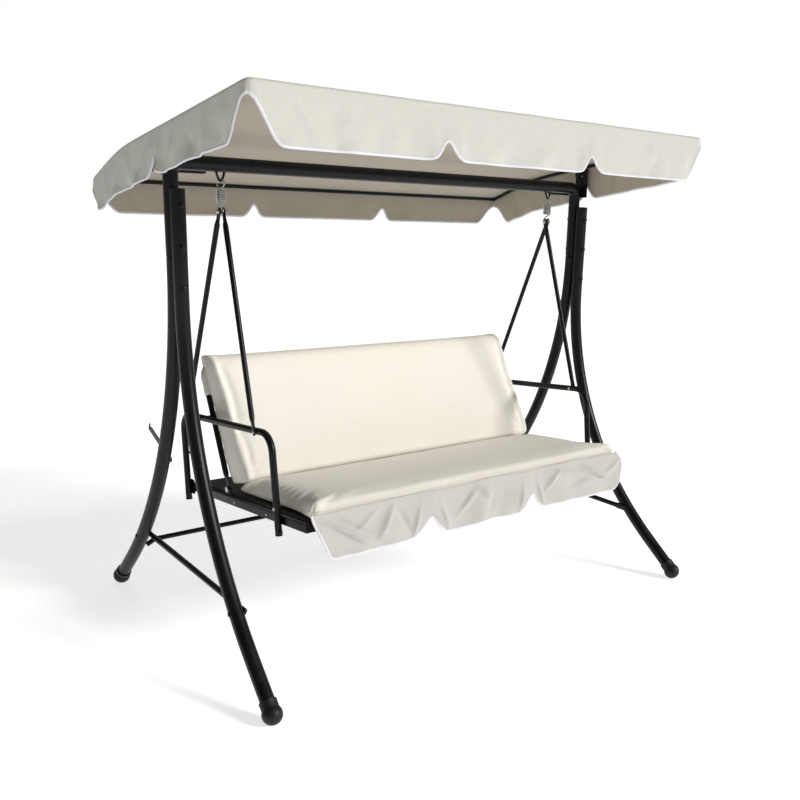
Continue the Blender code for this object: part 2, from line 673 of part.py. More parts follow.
def build_suspension():
    """V loops under the beam, springs, eye bolts and the paired hanger bars."""
    rounding = arc((0.0, HANG_LOOP_Z + LOOP_BEND_RADIUS), LOOP_BEND_RADIUS,
                   math.radians(-165), math.radians(-15), 7)
    top_z = BEAM_Z - LEG_RADIUS - 0.0018
    half_flat = [(-LOOP_SPREAD, top_z)] + rounding + [(LOOP_SPREAD, top_z)]
    wire = spring_path()
    for label, side in SIDES:
        hang_x = side * HANG_X
        loop = [(hang_x + across, POST_Y, z) for across, z in half_flat]
        sweep(f"spring_loop_{label}", loop, LOOP_ROD_RADIUS, "powder_coat", resolution=2)
        coil = [(hang_x + side * x, POST_Y + y, z) for x, y, z in wire]
        sweep(f"spring_{label}", coil, SPRING_WIRE, "zinc", resolution=1)
        foot_x = side * (ARM_X + ARM_RADIUS + 2 * GAP + HANGER_RADIUS * PRESSED_THIN)
        for word, (y, z), offset in (("front", FRONT_HANGER_FOOT, -0.0080),
                                     ("rear", REAR_HANGER_FOOT, 0.0080)):
            bar = flattened_bar(f"{word}_hanger_{label}", (hang_x + side * offset, POST_Y, EYE_Z),
                                (foot_x, y, z), HANGER_RADIUS, "powder_coat", wall=BAR_WALL)
            drill(bar, (hang_x - 0.03, POST_Y, EYE_Z), (hang_x + 0.03, POST_Y, EYE_Z), 0.0047)
        bolt(f"hanger_eye_bolt_{label}", (hang_x - side * 0.0117, POST_Y, EYE_Z),
             (side, 0, 0), 0.0234, radius=0.004, nut=(0.0070, 0.006))


# ---- bench -------------------------------------------------------------------------------
def seat_height(y):
    """Return the seat rails' axis height at a distance back."""
    return SEAT_Z - SEAT_SLOPE * y


def seat_matrix(y, rise):
    """Return the frame of a piece lying on the sloping seat, rise above the rails' axis."""
    tilt = Matrix.Rotation(-SEAT_ANGLE, 4, "X")
    return Matrix.Translation((0, y, seat_height(y))) @ tilt @ Matrix.Translation((0, 0, rise))


def build_seat_frame():
    """Arm loops, seat rails, the sling on them and the crossbar behind the backrest."""
    section = (RAIL_WIDTH, RAIL_HEIGHT)
    for label, side in SIDES:
        corners = [(side * ARM_X, y, z) for y, z in ARM_CORNERS]
        sweep(f"armrest_{label}", rounded_path(corners, ARM_BEND_RADIUS), ARM_RADIUS,
              "powder_coat", wall=0.0015)
        ends = [(side * SIDE_RAIL_X, y, seat_height(y)) for y in (SEAT_FRONT_Y, SEAT_REAR_Y)]
        box_tube(f"seat_side_rail_{label}", ends[0], ends[1], section, RAIL_WALL, "powder_coat")
    for word, y in (("front", FRONT_RAIL_Y), ("rear", REAR_RAIL_Y)):
        box_tube(f"seat_{word}_rail", (-CROSS_RAIL_X, y, seat_height(y)),
                 (CROSS_RAIL_X, y, seat_height(y)), section, RAIL_WALL, "powder_coat")
    middle = (FRONT_RAIL_Y + REAR_RAIL_Y) / 2
    depth = (REAR_RAIL_Y - FRONT_RAIL_Y + RAIL_WIDTH) / math.cos(SEAT_ANGLE)
    rise = RAIL_HEIGHT / 2 + 0.0012 + SLING_THICKNESS / 2
    block("seat_sling", (2 * SLING_X, depth, SLING_THICKNESS), "sling_mesh",
          seat_matrix(middle, rise))
    reach = ARM_X - ARM_RADIUS - 0.0008
    sweep("backrest_crossbar", [(-reach, CROSSBAR_Y, CROSSBAR_Z), (reach, CROSSBAR_Y, CROSSBAR_Z)],
          CROSSBAR_RADIUS, "powder_coat", wall=BAR_WALL)


def build_seat_cushion():
    """The seat cushion and the scalloped skirt that hangs before it."""
    middle = (SEAT_CUSHION_FRONT + SEAT_CUSHION_REAR) / 2
    depth = SEAT_CUSHION_REAR - SEAT_CUSHION_FRONT
    rise = RAIL_HEIGHT / 2 + SLING_THICKNESS + 0.0022 + SEAT_CUSHION_THICKNESS / 2
    block("seat_cushion", (2 * SEAT_CUSHION_X, depth, SEAT_CUSHION_THICKNESS),
          "cushion_fabric", seat_matrix(middle, rise), bevel=0.022)
    columns = 18
    points = []
    for column in range(columns + 1):
        within = (column / columns * 3) % 1.0
        depth = SKIRT_NOTCH + (SKIRT_DROP - SKIRT_NOTCH) * (1 - abs(2 * within - 1) ** 3)
        x = -SKIRT_X + 2 * SKIRT_X * column / columns
        points += [(x, SKIRT_Y, SKIRT_TOP_Z), (x, SKIRT_Y, SKIRT_TOP_Z - depth)]
    faces = [(2 * column, 2 * column + 1, 2 * column + 3, 2 * column + 2)
             for column in range(columns)]
    mesh = bpy.data.meshes.new("seat_skirt")
    mesh.from_pydata(points, [], faces)
    skirt = place("seat_skirt", mesh, "cushion_fabric")
    shell = skirt.modifiers.new("cloth", "SOLIDIFY")
    shell.thickness = FABRIC_THICKNESS
    shell.offset = 0.0


def back_point(x, along, out):
    """Return a world point from the backrest's own frame."""
    lean_y, lean_z = math.sin(BACK_LEAN), math.cos(BACK_LEAN)
    return Vector((x, BACK_PIVOT_Y + along * lean_y - out * lean_z,
                   BACK_PIVOT_Z + along * lean_z + out * lean_y))


def build_backrest():
    """The hinged backrest: its bent frame, its cushion and the brackets that it turns on."""
    tip = [back_point(-BACK_X, along, 0) for along in (-0.013, 0.035)]
    corners = [back_point(-BACK_X, 0.060, 0), back_point(-BACK_X, BACK_LENGTH, 0),
               back_point(BACK_X, BACK_LENGTH, 0), back_point(BACK_X, 0.060, 0)]
    path = tip + rounded_path(corners, BACK_CORNER_RADIUS) + mirrored(reversed(tip), -1)
    mesh = sweep_mesh(path, BACK_RADIUS, wall=BAR_WALL)
    lean_y, lean_z = math.sin(BACK_LEAN), math.cos(BACK_LEAN)
    for vertex in mesh.vertices:
        rel_y, rel_z = vertex.co.y - BACK_PIVOT_Y, vertex.co.z - BACK_PIVOT_Z
        along = rel_y * lean_y + rel_z * lean_z
        out = -rel_y * lean_z + rel_z * lean_y
        if along < BACK_FLAT_LENGTH:
            axis_x = math.copysign(BACK_X, vertex.co.x)
            x = axis_x + (vertex.co.x - axis_x) * PRESSED_THIN
            vertex.co = back_point(x, along, out * PRESSED_WIDE)
    frame = place("backrest_frame", mesh, "powder_coat")
    for label, side in SIDES:
        drill(frame, (side * 0.74, BACK_PIVOT_Y, BACK_PIVOT_Z),
              (side * 0.775, BACK_PIVOT_Y, BACK_PIVOT_Z), 0.0047)
        build_bracket(label, side)
    along = sum(BACK_CUSHION_SPAN) / 2
    out = sum(BACK_CUSHION_DEPTH) / 2
    size = (2 * BACK_CUSHION_X, BACK_CUSHION_DEPTH[1] - BACK_CUSHION_DEPTH[0],
            BACK_CUSHION_SPAN[1] - BACK_CUSHION_SPAN[0])
    turn = Matrix.Rotation(-BACK_LEAN, 4, "X")
    block("back_cushion", size, "cushion_fabric",
          Matrix.Translation(back_point(0, along, out)) @ turn, bevel=0.026)


def build_bracket(label, side):
    """A lug standing on the seat's side rail, with the pin that the backrest turns on."""
    base_z = seat_height(BACK_PIVOT_Y) + RAIL_HEIGHT / 2 + 0.0022
    outline = [(BACK_PIVOT_Y - 0.017, base_z), (BACK_PIVOT_Y + 0.017, base_z)]
    outline += arc((BACK_PIVOT_Y, BACK_PIVOT_Z), 0.012, 0.0, math.pi, 8)
    lug_x = BACK_X + 0.0064
    lug = place(f"backrest_bracket_{label}", plate_mesh([outline], 0.004), "powder_coat",
                Matrix.Translation((side * lug_x, 0, 0)))
    pin = turned(f"pin_{label}", [(0.0, 0.0105), (0.0068, 0.0105), (0.0068, 0.0066),
                                  (0.0040, 0.0066), (0.0040, -0.006), (0.0, -0.006)],
                 "zinc", (side * (BACK_X + 0.0030), BACK_PIVOT_Y, BACK_PIVOT_Z), (-side, 0, 0))
    add_cut(lug, pin, "UNION")


build_legs()
build_posts()
build_braces()
build_leg_hook()
build_canopy_frame(*build_tilt_plates())
build_canopy_fabric()
build_suspension()
build_seat_frame()
build_seat_cushion()
build_backrest()
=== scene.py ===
"""Looks of a canopy swing bench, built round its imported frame.

Metres, +Z up; the front faces -Y, with +X to the right of someone looking at it, and the
origin is on the ground between the four feet. "left" is the -X side, "right" the +X side.
"""

import json
import logging
import math
from dataclasses import dataclass
from enum import Enum

import bpy
import numpy as np
from mathutils import Matrix, Vector

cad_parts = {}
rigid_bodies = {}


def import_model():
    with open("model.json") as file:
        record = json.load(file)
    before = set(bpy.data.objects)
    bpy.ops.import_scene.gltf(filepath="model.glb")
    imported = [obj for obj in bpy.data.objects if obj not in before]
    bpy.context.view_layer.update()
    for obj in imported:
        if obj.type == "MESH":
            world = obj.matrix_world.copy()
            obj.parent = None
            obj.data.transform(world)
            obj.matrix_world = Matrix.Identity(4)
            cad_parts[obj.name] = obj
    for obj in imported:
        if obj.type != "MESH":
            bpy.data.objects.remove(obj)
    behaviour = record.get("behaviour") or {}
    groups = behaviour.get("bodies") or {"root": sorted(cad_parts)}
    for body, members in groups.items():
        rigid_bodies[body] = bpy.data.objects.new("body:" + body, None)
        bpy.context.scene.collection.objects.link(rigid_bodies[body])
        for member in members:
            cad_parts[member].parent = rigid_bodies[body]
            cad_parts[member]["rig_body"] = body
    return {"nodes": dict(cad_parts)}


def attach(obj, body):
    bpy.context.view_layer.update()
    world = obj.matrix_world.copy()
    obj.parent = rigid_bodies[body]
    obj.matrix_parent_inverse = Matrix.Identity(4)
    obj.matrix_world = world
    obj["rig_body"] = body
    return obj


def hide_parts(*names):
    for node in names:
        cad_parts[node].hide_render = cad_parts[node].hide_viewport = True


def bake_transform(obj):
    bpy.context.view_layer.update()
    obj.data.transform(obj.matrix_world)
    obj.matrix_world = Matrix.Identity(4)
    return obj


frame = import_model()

LOG = logging.getLogger("canopy_swing_bench")
Array = np.ndarray
SIDES: tuple[tuple[str, float], ...] = (("left", -1.0), ("right", 1.0))
SEED = 20
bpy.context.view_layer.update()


class Body(str, Enum):
    """The rigid bodies that pieces ride on."""

    STAND = "stand"
    CANOPY = "canopy"
    SWING = "swing"
    SEAT = "seat"
    BACKREST = "backrest"


class Slot(str, Enum):
    """The record's material slots."""

    STEEL = "powder_coated_steel"
    ZINC = "zinc_steel"
    PLASTIC = "black_plastic"
    CANOPY = "canopy_fabric"
    CUSHION = "cushion_fabric"
    SLING = "sling_mesh"


# ---- mesh arrays -------------------------------------------------------------------------
@dataclass
class Part:
    """One closed or open surface as arrays.

    Attributes:
        points: vertex positions, shape (n, 3).
        faces: vertex indices, one tuple for each face.
        uv: optional positions on the flat cloth in metres, shape (n, 2).
    """

    points: Array
    faces: list[tuple[int, ...]]
    uv: Array | None = None

    def moved(self, matrix: Matrix) -> "Part":
        """Return the part carried by a 4 by 4 matrix.

        Args:
            matrix: the movement.

        Returns:
            The moved part.
        """
        m = np.array(matrix)
        return Part(self.points @ m[:3, :3].T + m[:3, 3], self.faces, self.uv)

    def on_side(self, side: float) -> "Part":
        """Return a right-hand part for a side: itself for +1, mirrored in X for -1."""
        return self if side > 0 else self.mirrored()

    def mirrored(self) -> "Part":
        """Return the part reflected in the plane X = 0, still facing outwards."""
        flipped = self.points * np.array([-1.0, 1.0, 1.0])
        return Part(flipped, [face[::-1] for face in self.faces], self.uv)


def joined(parts: list[Part]) -> Part:
    """Gather several parts into one.

    Args:
        parts: the parts, all with or all without cloth positions.

    Returns:
        One part that holds their points and faces.
    """
    faces: list[tuple[int, ...]] = []
    start = 0
    for part in parts:
        faces += [tuple(index + start for index in face) for face in part.faces]
        start += len(part.points)
    uv = None
    if all(part.uv is not None for part in parts):
        uv = np.concatenate([part.uv for part in parts])
    return Part(np.concatenate([part.points for part in parts]), faces, uv)


def grid_faces(rows: int, columns: int, wrap: bool = False) -> list[tuple[int, ...]]:
    """Return the quads of a grid of points stored row by row.

    Args:
        rows: number of point rows.
        columns: number of points in a row.
        wrap: whether each row closes on itself.

    Returns:
        The quads' vertex indices.
    """
    r, c = np.meshgrid(np.arange(rows - 1), np.arange(columns if wrap else columns - 1),
                       indexing="ij")
    after = (c + 1) % columns
    quads = np.stack([r * columns + c, r * columns + after, (r + 1) * columns + after,
                      (r + 1) * columns + c], axis=-1)
    return [tuple(quad) for quad in quads.reshape(-1, 4).tolist()]


def fan(pole: int, first: int, count: int, inwards: bool = False) -> list[tuple[int, ...]]:
    """Return the triangles that close a ring of points to a pole.

    Args:
        pole: the pole's index.
        first: the ring's first index.
        count: points in the ring.
        inwards: whether the ring runs the other way round as seen from outside.

    Returns:
        The triangles.
    """
    ring = [(first + k, first + (k + 1) % count) for k in range(count)]
    return [(pole, after, before) if inwards else (pole, before, after) for before, after in ring]


def transported_frames(path: Array) -> tuple[Array, Array]:
    """Return two unit vectors across a path at each point, carried along without twist.

    The first one starts in the direction across the path that is nearest to +X, and at
    each point it loses its share along the new tangent.

    Args:
        path: the points, shape (n, 3).

    Returns:
        Both sets of vectors, each of shape (n, 3).
    """
    tangents = np.gradient(path, axis=0)
    tangents /= np.linalg.norm(tangents, axis=1, keepdims=True)
    start = np.array([1.0, 0.0, 0.0])
    if abs(tangents[0, 0]) > 0.9:
        start = np.array([0.0, 1.0, 0.0])
    across = np.empty_like(path)
    for index, tangent in enumerate(tangents):
        start = start - tangent * start.dot(tangent)
        start = start / np.linalg.norm(start)
        across[index] = start
    return across, np.cross(tangents, across)


def tube(path: Array, half: Array | float, sides: int = 28, squareness: float = 2.0) -> Part:
    """Carry a superellipse section along a path and close both ends.

    A section's point at angle a stands off the path by half_1 * sgn(cos a) |cos a|^(2/p)
    across it and half_2 * sgn(sin a) |sin a|^(2/p) the other way, with p the squareness.

    Args:
        path: the axis, shape (n, 3).
        half: half sizes across the path, one number or shape (n, 2).
        sides: points round the section.
        squareness: 2 for an ellipse, more for a rounded rectangle.

    Returns:
        The closed tube.
    """
    path = np.asarray(path, float)
    halves = np.broadcast_to(np.asarray(half, float), (len(path), 2)) if np.ndim(half) < 2 else half
    first, second = transported_frames(path)
    turn = np.linspace(0.0, 2 * math.pi, sides, endpoint=False)
    power = 2.0 / squareness
    a = np.sign(np.cos(turn)) * np.abs(np.cos(turn)) ** power
    b = np.sign(np.sin(turn)) * np.abs(np.sin(turn)) ** power
    rings = (path[:, None] + first[:, None] * (halves[:, :1] * a)[..., None]
             + second[:, None] * (halves[:, 1:] * b)[..., None])
    points = np.concatenate([rings.reshape(-1, 3), path[:1], path[-1:]])
    faces = grid_faces(len(path), sides, wrap=True)
    low, high, last = len(points) - 2, len(points) - 1, (len(path) - 1) * sides
    faces += [(low, (side + 1) % sides, side) for side in range(sides)]
    faces += [(high, last + side, last + (side + 1) % sides) for side in range(sides)]
    return Part(points, faces)


def turned(profile: list[tuple[float, float]], base: Array, direction: Array,
           sides: int = 32) -> Part:
    """Turn a profile about a direction; its first and last points are on the axis.

    Args:
        profile: (radius, height) pairs, from the lowest to the highest.
        base: the point at height 0.
        direction: the axis, pointing up the profile.
        sides: points round each ring; 6 makes a hexagon.

    Returns:
        The closed turned part.
    """
    outline = np.array(profile)
    turn = np.linspace(0.0, 2 * math.pi, sides, endpoint=False)
    radii, heights = outline[1:-1, 0], outline[1:-1, 1]
    rings = np.stack([radii[:, None] * np.cos(turn), radii[:, None] * np.sin(turn),
                      np.broadcast_to(heights[:, None], (len(radii), sides))], axis=-1)
    ends = np.array([[0.0, 0.0, outline[0, 1]], [0.0, 0.0, outline[-1, 1]]])
    points = np.concatenate([rings.reshape(-1, 3), ends])
    faces = grid_faces(len(radii), sides, wrap=True)
    low, high, last = len(points) - 2, len(points) - 1, (len(radii) - 1) * sides
    faces += [(low, (side + 1) % sides, side) for side in range(sides)]
    faces += [(high, last + side, last + (side + 1) % sides) for side in range(sides)]
    turn_to = Vector(direction).to_track_quat("Z", "Y").to_matrix().to_4x4()
    return Part(points, faces).moved(Matrix.Translation(Vector(base)) @ turn_to)


def rounded_path(corners: list[tuple[float, float, float]], radius: float,
                 steps: int = 12) -> Array:
    """Return a path through corners whose inner ones are rounded by arcs.

    Args:
        corners: the points, two of which are the ends.
        radius: the arcs' radius.
        steps: stretches in each arc.

    Returns:
        The path, shape (n, 3).
    """
    spots = [Vector(corner) for corner in corners]
    path = [spots[0]]
    for before, corner, after in zip(spots, spots[1:], spots[2:]):
        inward, onward = (before - corner).normalized(), (after - corner).normalized()
        half = inward.angle(onward) / 2
        reach = radius / math.tan(half)
        centre = corner + (inward + onward).normalized() * (radius / math.sin(half))
        first = corner + inward * reach - centre
        axis = first.cross(corner + onward * reach - centre).normalized()
        path += [centre + Matrix.Rotation((math.pi - 2 * half) * step / steps, 3, axis) @ first
                 for step in range(steps + 1)]
    path.append(spots[-1])
    return np.array([list(point) for point in path])


def flattened_bar(start: Array, end: Array, radius: float, overrun: float = 0.014,
                  flat: float = 0.024, swell: float = 0.052) -> Part:
    """Return a round bar whose ends are pressed flat in the YZ plane and rounded off.

    The half thickness across X goes from pressed to round by a smooth step between flat
    and swell, measured from the bolt centres, and the half width does the opposite.

    Args:
        start: first bolt centre.
        end: last bolt centre.
        radius: the round part's radius.
        overrun: how far each end runs past its bolt.
        flat: length of the flat from the bolt centre.
        swell: distance at which the bar is round.

    Returns:
        The closed bar.
    """
    start, end = np.asarray(start, float), np.asarray(end, float)
    length = float(np.linalg.norm(end - start))
    along = (end - start) / length
    tip = overrun * (1 - np.cos(np.linspace(0, math.pi / 2, 7)))
    near = np.concatenate([-overrun + tip[:-1], np.linspace(0.0, flat, 4)[:-1],
                           np.linspace(flat, swell, 8)])
    stations = np.concatenate([near, (length - near)[::-1]])
    reach = np.minimum(stations, length - stations)
    share = np.clip((reach - flat) / (swell - flat), 0.0, 1.0)
    share = share * share * (3 - 2 * share)
    thin = radius * (0.27 + 0.73 * share)
    wide = radius * (1.32 - 0.32 * share)
    past = np.clip(-reach / overrun, 0.0, 1.0)
    wide = wide * np.sqrt(np.clip(1.0 - past ** 2.6, 0.02, 1.0))
    path = start + along * stations[:, None]
    return tube(path, np.stack([thin, wide], axis=-1), sides=24)


def smooth_noise(points: Array, scale: float, seed: int) -> Array:
    """Return a smooth seeded field in -1..1 as a sum of plane waves.

    Args:
        points: positions, shape (..., d).
        scale: length of the waves.
        seed: picks the directions and phases.

    Returns:
        The field, shape (...).
    """
    rng = np.random.default_rng(seed)
    total = np.zeros(points.shape[:-1])
    for _ in range(9):
        wave = rng.normal(size=points.shape[-1])
        wave *= 2 * math.pi / (np.linalg.norm(wave) * scale * rng.uniform(0.6, 1.7))
        total += np.sin(points @ wave + rng.uniform(0, 2 * math.pi))
    return total / 4.5


@dataclass(frozen=True)
class Crease:
    """One soft fold in a cloth, placed on the flat cloth.

    Attributes:
        centre: its middle, in the cloth's own metres.
        angle: its direction in degrees from the cloth's first axis.
        length: half length over which it fades.
        width: half width of the fold.
        height: how far it lifts the cloth; negative presses it in.
    """

    centre: tuple[float, float]
    angle: float
    length: float
    width: float
    height: float

    def lift(self, flat: Array) -> Array:
        """Return the fold's lift at positions on the flat cloth.

        The lift is height * exp(-(along / length)^2) * exp(-|across / width|^1.5), which
        leaves a fairly sharp crest along the middle.

        Args:
            flat: cloth positions, shape (..., 2).

        Returns:
            The lift, shape (...).
        """
        turn = math.radians(self.angle)
        offset = flat - np.array(self.centre)
        along = offset @ np.array([math.cos(turn), math.sin(turn)])
        across = offset @ np.array([-math.sin(turn), math.cos(turn)])
        return self.height * np.exp(-(along / self.length) ** 2
                                    - np.abs(across / self.width) ** 1.5)


# ---- objects -----------------------------------------------------------------------------
def make_object(name: str, part: Part, materials: list[bpy.types.Material], body: Body,
                replaces: tuple[str, ...] = (), sharp: float = 35.0,
                ) -> bpy.types.Object:
    """Turn a part into an object that rides on a body.

    Args:
        name: the piece's name.
        part: its surface.
        materials: its materials, the first for all faces.
        body: the body that it rides on.
        replaces: the CAD nodes that it stands for.
        sharp: angle in degrees above which an edge is shaded sharp.

    Returns:
        The new object.
    """
    mesh = bpy.data.meshes.new(name)
    mesh.from_pydata(part.points.tolist(), [], part.faces)
    if part.uv is not None:
        layer = mesh.uv_layers.new(name="cloth")
        corners = np.empty(len(mesh.loops), np.int32)
        mesh.loops.foreach_get("vertex_index", corners)
        layer.data.foreach_set("uv", part.uv[corners].astype(np.float32).ravel())
    for material in materials:
        mesh.materials.append(material)
    mesh.shade_smooth()
    mesh.set_sharp_from_angle(angle=math.radians(sharp))
    piece = bpy.data.objects.new(name, mesh)
    bpy.context.scene.collection.objects.link(piece)
    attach(piece, body.value)
    if replaces:
        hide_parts(*replaces)
    LOG.info("%s: %d faces, rides on %s", name, len(part.faces), body.value)
    return piece


def let_go(piece: bpy.types.Object) -> None:
    """Take a piece off its body."""
    piece.parent = None
    del piece["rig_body"]


def dress_node(node: str, material: bpy.types.Material) -> None:
    """Give a CAD node its finished material.

    Args:
        node: the node's name.
        material: the material for all its faces.
    """
    slots = frame["nodes"][node].material_slots
    if not slots:
        frame["nodes"][node].data.materials.append(material)
    for holder in slots:
        holder.material = material
    LOG.info("%s: CAD shape kept", node)


def add_thickness(piece: bpy.types.Object, thickness: float, offset: float = 0.0,
                  lining_and_shade: int = 0) -> None:
    """Give a cloth its thickness with a closed rim.

    Args:
        piece: the open sheet.
        thickness: wall in metres.
        offset: -1 for all inwards, 0 for both ways, 1 for all outwards.
        lining_and_shade: how many material slots further on the inner side's finish is.
    """
    shell = piece.modifiers.new("cloth", "SOLIDIFY")
    shell.thickness = thickness
    shell.offset = offset
    shell.material_offset = lining_and_shade


# ---- shader helpers ----------------------------------------------------------------------
class Nodes:
    """A small hand for wiring a node tree."""

    def __init__(self, tree: bpy.types.NodeTree) -> None:
        """Keep the tree that the nodes go in."""
        self.tree = tree

    def add(self, kind: str, **settings: object) -> bpy.types.Node:
        """Add a node and set its plain properties.

        Args:
            kind: the node's type name.
            settings: its properties.

        Returns:
            The node.
        """
        node = self.tree.nodes.new(kind)
        for name, value in settings.items():
            setattr(node, name, value)
        return node

    def wire(self, source: object, target: bpy.types.NodeSocket) -> None:
        """Feed a socket from another socket, or set it to a value.

        Args:
            source: an output socket or a plain value.
            target: the input socket.
        """
        if isinstance(source, bpy.types.NodeSocket):
            self.tree.links.new(source, target)
        else:
            target.default_value = source

    def maths(self, operation: str, first: object, second: object = 0.0,
              clamp: bool = False) -> bpy.types.NodeSocket:
        """Add a Math node.

        Args:
            operation: its operation.
            first: the first value or socket.
            second: the second value or socket.
            clamp: whether the result is held in 0..1.

        Returns:
            Its result.
        """
        node = self.add("ShaderNodeMath", operation=operation, use_clamp=clamp)
        self.wire(first, node.inputs[0])
        self.wire(second, node.inputs[1])
        return node.outputs[0]

    def noise(self, vector: bpy.types.NodeSocket, scale: object, detail: float = 3.0,
              roughness: float = 0.5) -> bpy.types.NodeSocket:
        """Add a Noise Texture and return its value.

        Args:
            vector: where it is read.
            scale: its scale, a number or a socket.
            detail: octaves.
            roughness: how much each octave adds.

        Returns:
            The noise from 0 to 1.
        """
        node = self.add("ShaderNodeTexNoise")
        self.wire(vector, node.inputs["Vector"])
        self.wire(scale, node.inputs["Scale"])
        node.inputs["Detail"].default_value = detail
        node.inputs["Roughness"].default_value = roughness
        return node.outputs["Fac"]

    def ramp(self, value: bpy.types.NodeSocket, low: float, high: float,
             out_low: float = 0.0, out_high: float = 1.0) -> bpy.types.NodeSocket:
        """Map a range smoothly onto another, held at its ends.

        Args:
            value: the socket to map.
            low: where the output starts to change.
            high: where it ends.
            out_low: output at low.
            out_high: output at high.

        Returns:
            The mapped value.
        """
        node = self.add("ShaderNodeMapRange", interpolation_type="SMOOTHSTEP")
        self.wire(value, node.inputs["Value"])
        for name, number in (("From Min", low), ("From Max", high), ("To Min", out_low),
                             ("To Max", out_high)):
            node.inputs[name].default_value = number
        return node.outputs["Result"]

    def mix(self, share: object, first: object, second: object) -> bpy.types.NodeSocket:
        """Mix two colours.

        Args:
            share: how much of the second colour.
            first: a colour or socket.
            second: a colour or socket.

        Returns:
            The mixed colour.
        """
        node = self.add("ShaderNodeMix", data_type="RGBA")
        self.wire(share, node.inputs[0])
        self.wire(first, node.inputs[6])
        self.wire(second, node.inputs[7])
        return node.outputs[2]


def new_group(name: str, inputs: dict[str, float], outputs: tuple[str, ...],
              ) -> tuple[bpy.types.NodeTree, Nodes, bpy.types.Node, bpy.types.Node]:
    """Start a shader node group that reads a vector and some numbers.

    Args:
        name: the group's name.
        inputs: its number inputs with their defaults.
        outputs: its value outputs.

    Returns:
        The tree, its hand, and its input and output nodes.
    """
    tree = bpy.data.node_groups.new(name, "ShaderNodeTree")
    tree.interface.new_socket("Vector", in_out="INPUT", socket_type="NodeSocketVector")
    for label, value in inputs.items():
        socket = tree.interface.new_socket(label, in_out="INPUT", socket_type="NodeSocketFloat")
        socket.default_value = value
    for label in outputs:
        tree.interface.new_socket(label, in_out="OUTPUT", socket_type="NodeSocketFloat")
    hand = Nodes(tree)
    return tree, hand, hand.add("NodeGroupInput"), hand.add("NodeGroupOutput")


def weave_group() -> bpy.types.NodeTree:
    """Build the plain weave: crossed threads with slubs, read from the cloth's metres.

    Height is the product of two sines, one along each thread, plus noise drawn out along
    both threads; Slub is that noise alone, and Soil is a broad, faint mottle.

    Returns:
        The group.
    """
    tree, hand, source, target = new_group(
        "plain_weave", {"Threads": 600.0, "Slub Size": 60.0}, ("Height", "Slub", "Soil"))
    split = hand.add("ShaderNodeSeparateXYZ")
    hand.wire(source.outputs["Vector"], split.inputs[0])
    angle = hand.maths("MULTIPLY", source.outputs["Threads"], math.pi)
    waves = [hand.maths("SINE", hand.maths("MULTIPLY", split.outputs[axis], angle))
             for axis in (0, 1)]
    crossing = hand.maths("MULTIPLY", waves[0], waves[1])
    slubs = []
    for stretch in ((1.0, 0.07, 1.0), (0.07, 1.0, 1.0)):
        place = hand.add("ShaderNodeMapping")
        hand.wire(source.outputs["Vector"], place.inputs["Vector"])
        place.inputs["Scale"].default_value = stretch
        slubs.append(hand.noise(place.outputs[0], hand.maths("MULTIPLY", source.outputs[2], 10.0)))
    slub = hand.maths("MULTIPLY", hand.maths("ADD", slubs[0], slubs[1]), 0.5)
    soil = hand.noise(source.outputs["Vector"], 5.0, detail=4.0, roughness=0.6)
    height = hand.maths("ADD", hand.maths("MULTIPLY", crossing, 0.5), slub)
    hand.wire(height, target.inputs["Height"])
    hand.wire(slub, target.inputs["Slub"])
    hand.wire(soil, target.inputs["Soil"])
    return tree


def coating_group() -> bpy.types.NodeTree:
    """Build the surface of a sprayed or moulded coat: fine peel, scuffs and settled dust.

    Peel is fine noise for the bump, Scuff marks where broad and streaked noise both run
    high, and Dust is broad noise kept to faces that look upwards.

    Returns:
        The group.
    """
    tree, hand, source, target = new_group(
        "coat_surface", {"Peel Scale": 700.0, "Scuff Scale": 9.0}, ("Peel", "Scuff", "Dust"))
    vector = source.outputs["Vector"]
    peel = hand.noise(vector, source.outputs["Peel Scale"], detail=2.0)
    broad = hand.noise(vector, source.outputs["Scuff Scale"], detail=5.0, roughness=0.65)
    streak = hand.noise(vector, hand.maths("MULTIPLY", source.outputs["Scuff Scale"], 14.0),
                        detail=3.0)
    scuff = hand.maths("MULTIPLY", hand.ramp(broad, 0.52, 0.70), hand.ramp(streak, 0.50, 0.72))
    facing = hand.add("ShaderNodeNewGeometry")
    split = hand.add("ShaderNodeSeparateXYZ")
    hand.wire(facing.outputs["Normal"], split.inputs[0])
    dust = hand.maths("MULTIPLY", hand.ramp(split.outputs[2], 0.2, 0.95),
                      hand.ramp(broad, 0.35, 0.70))
    hand.wire(peel, target.inputs["Peel"])
    hand.wire(scuff, target.inputs["Scuff"])
    hand.wire(dust, target.inputs["Dust"])
    return tree


def start_material(name: str) -> tuple[bpy.types.Material, Nodes, bpy.types.Node]:
    """Start a material.

    Args:
        name: its name.

    Returns:
        The material, a hand for its tree and its Principled BSDF.
    """
    material = bpy.data.materials.new(name)
    material.use_nodes = True
    hand = Nodes(material.node_tree)
    return material, hand, material.node_tree.nodes["Principled BSDF"]


def add_bump(hand: Nodes, shader: bpy.types.Node, height: bpy.types.NodeSocket,
             distance: float, strength: float) -> None:
    """Feed a shader's normal from a height.

    Args:
        hand: the tree's hand.
        shader: the Principled BSDF.
        height: the height in 0..1.
        distance: the height's size in metres.
        strength: how strongly it shows.
    """
    bump = hand.add("ShaderNodeBump")
    bump.inputs["Distance"].default_value = distance
    bump.inputs["Strength"].default_value = strength
    hand.wire(height, bump.inputs["Height"])
    hand.wire(bump.outputs["Normal"], shader.inputs["Normal"])


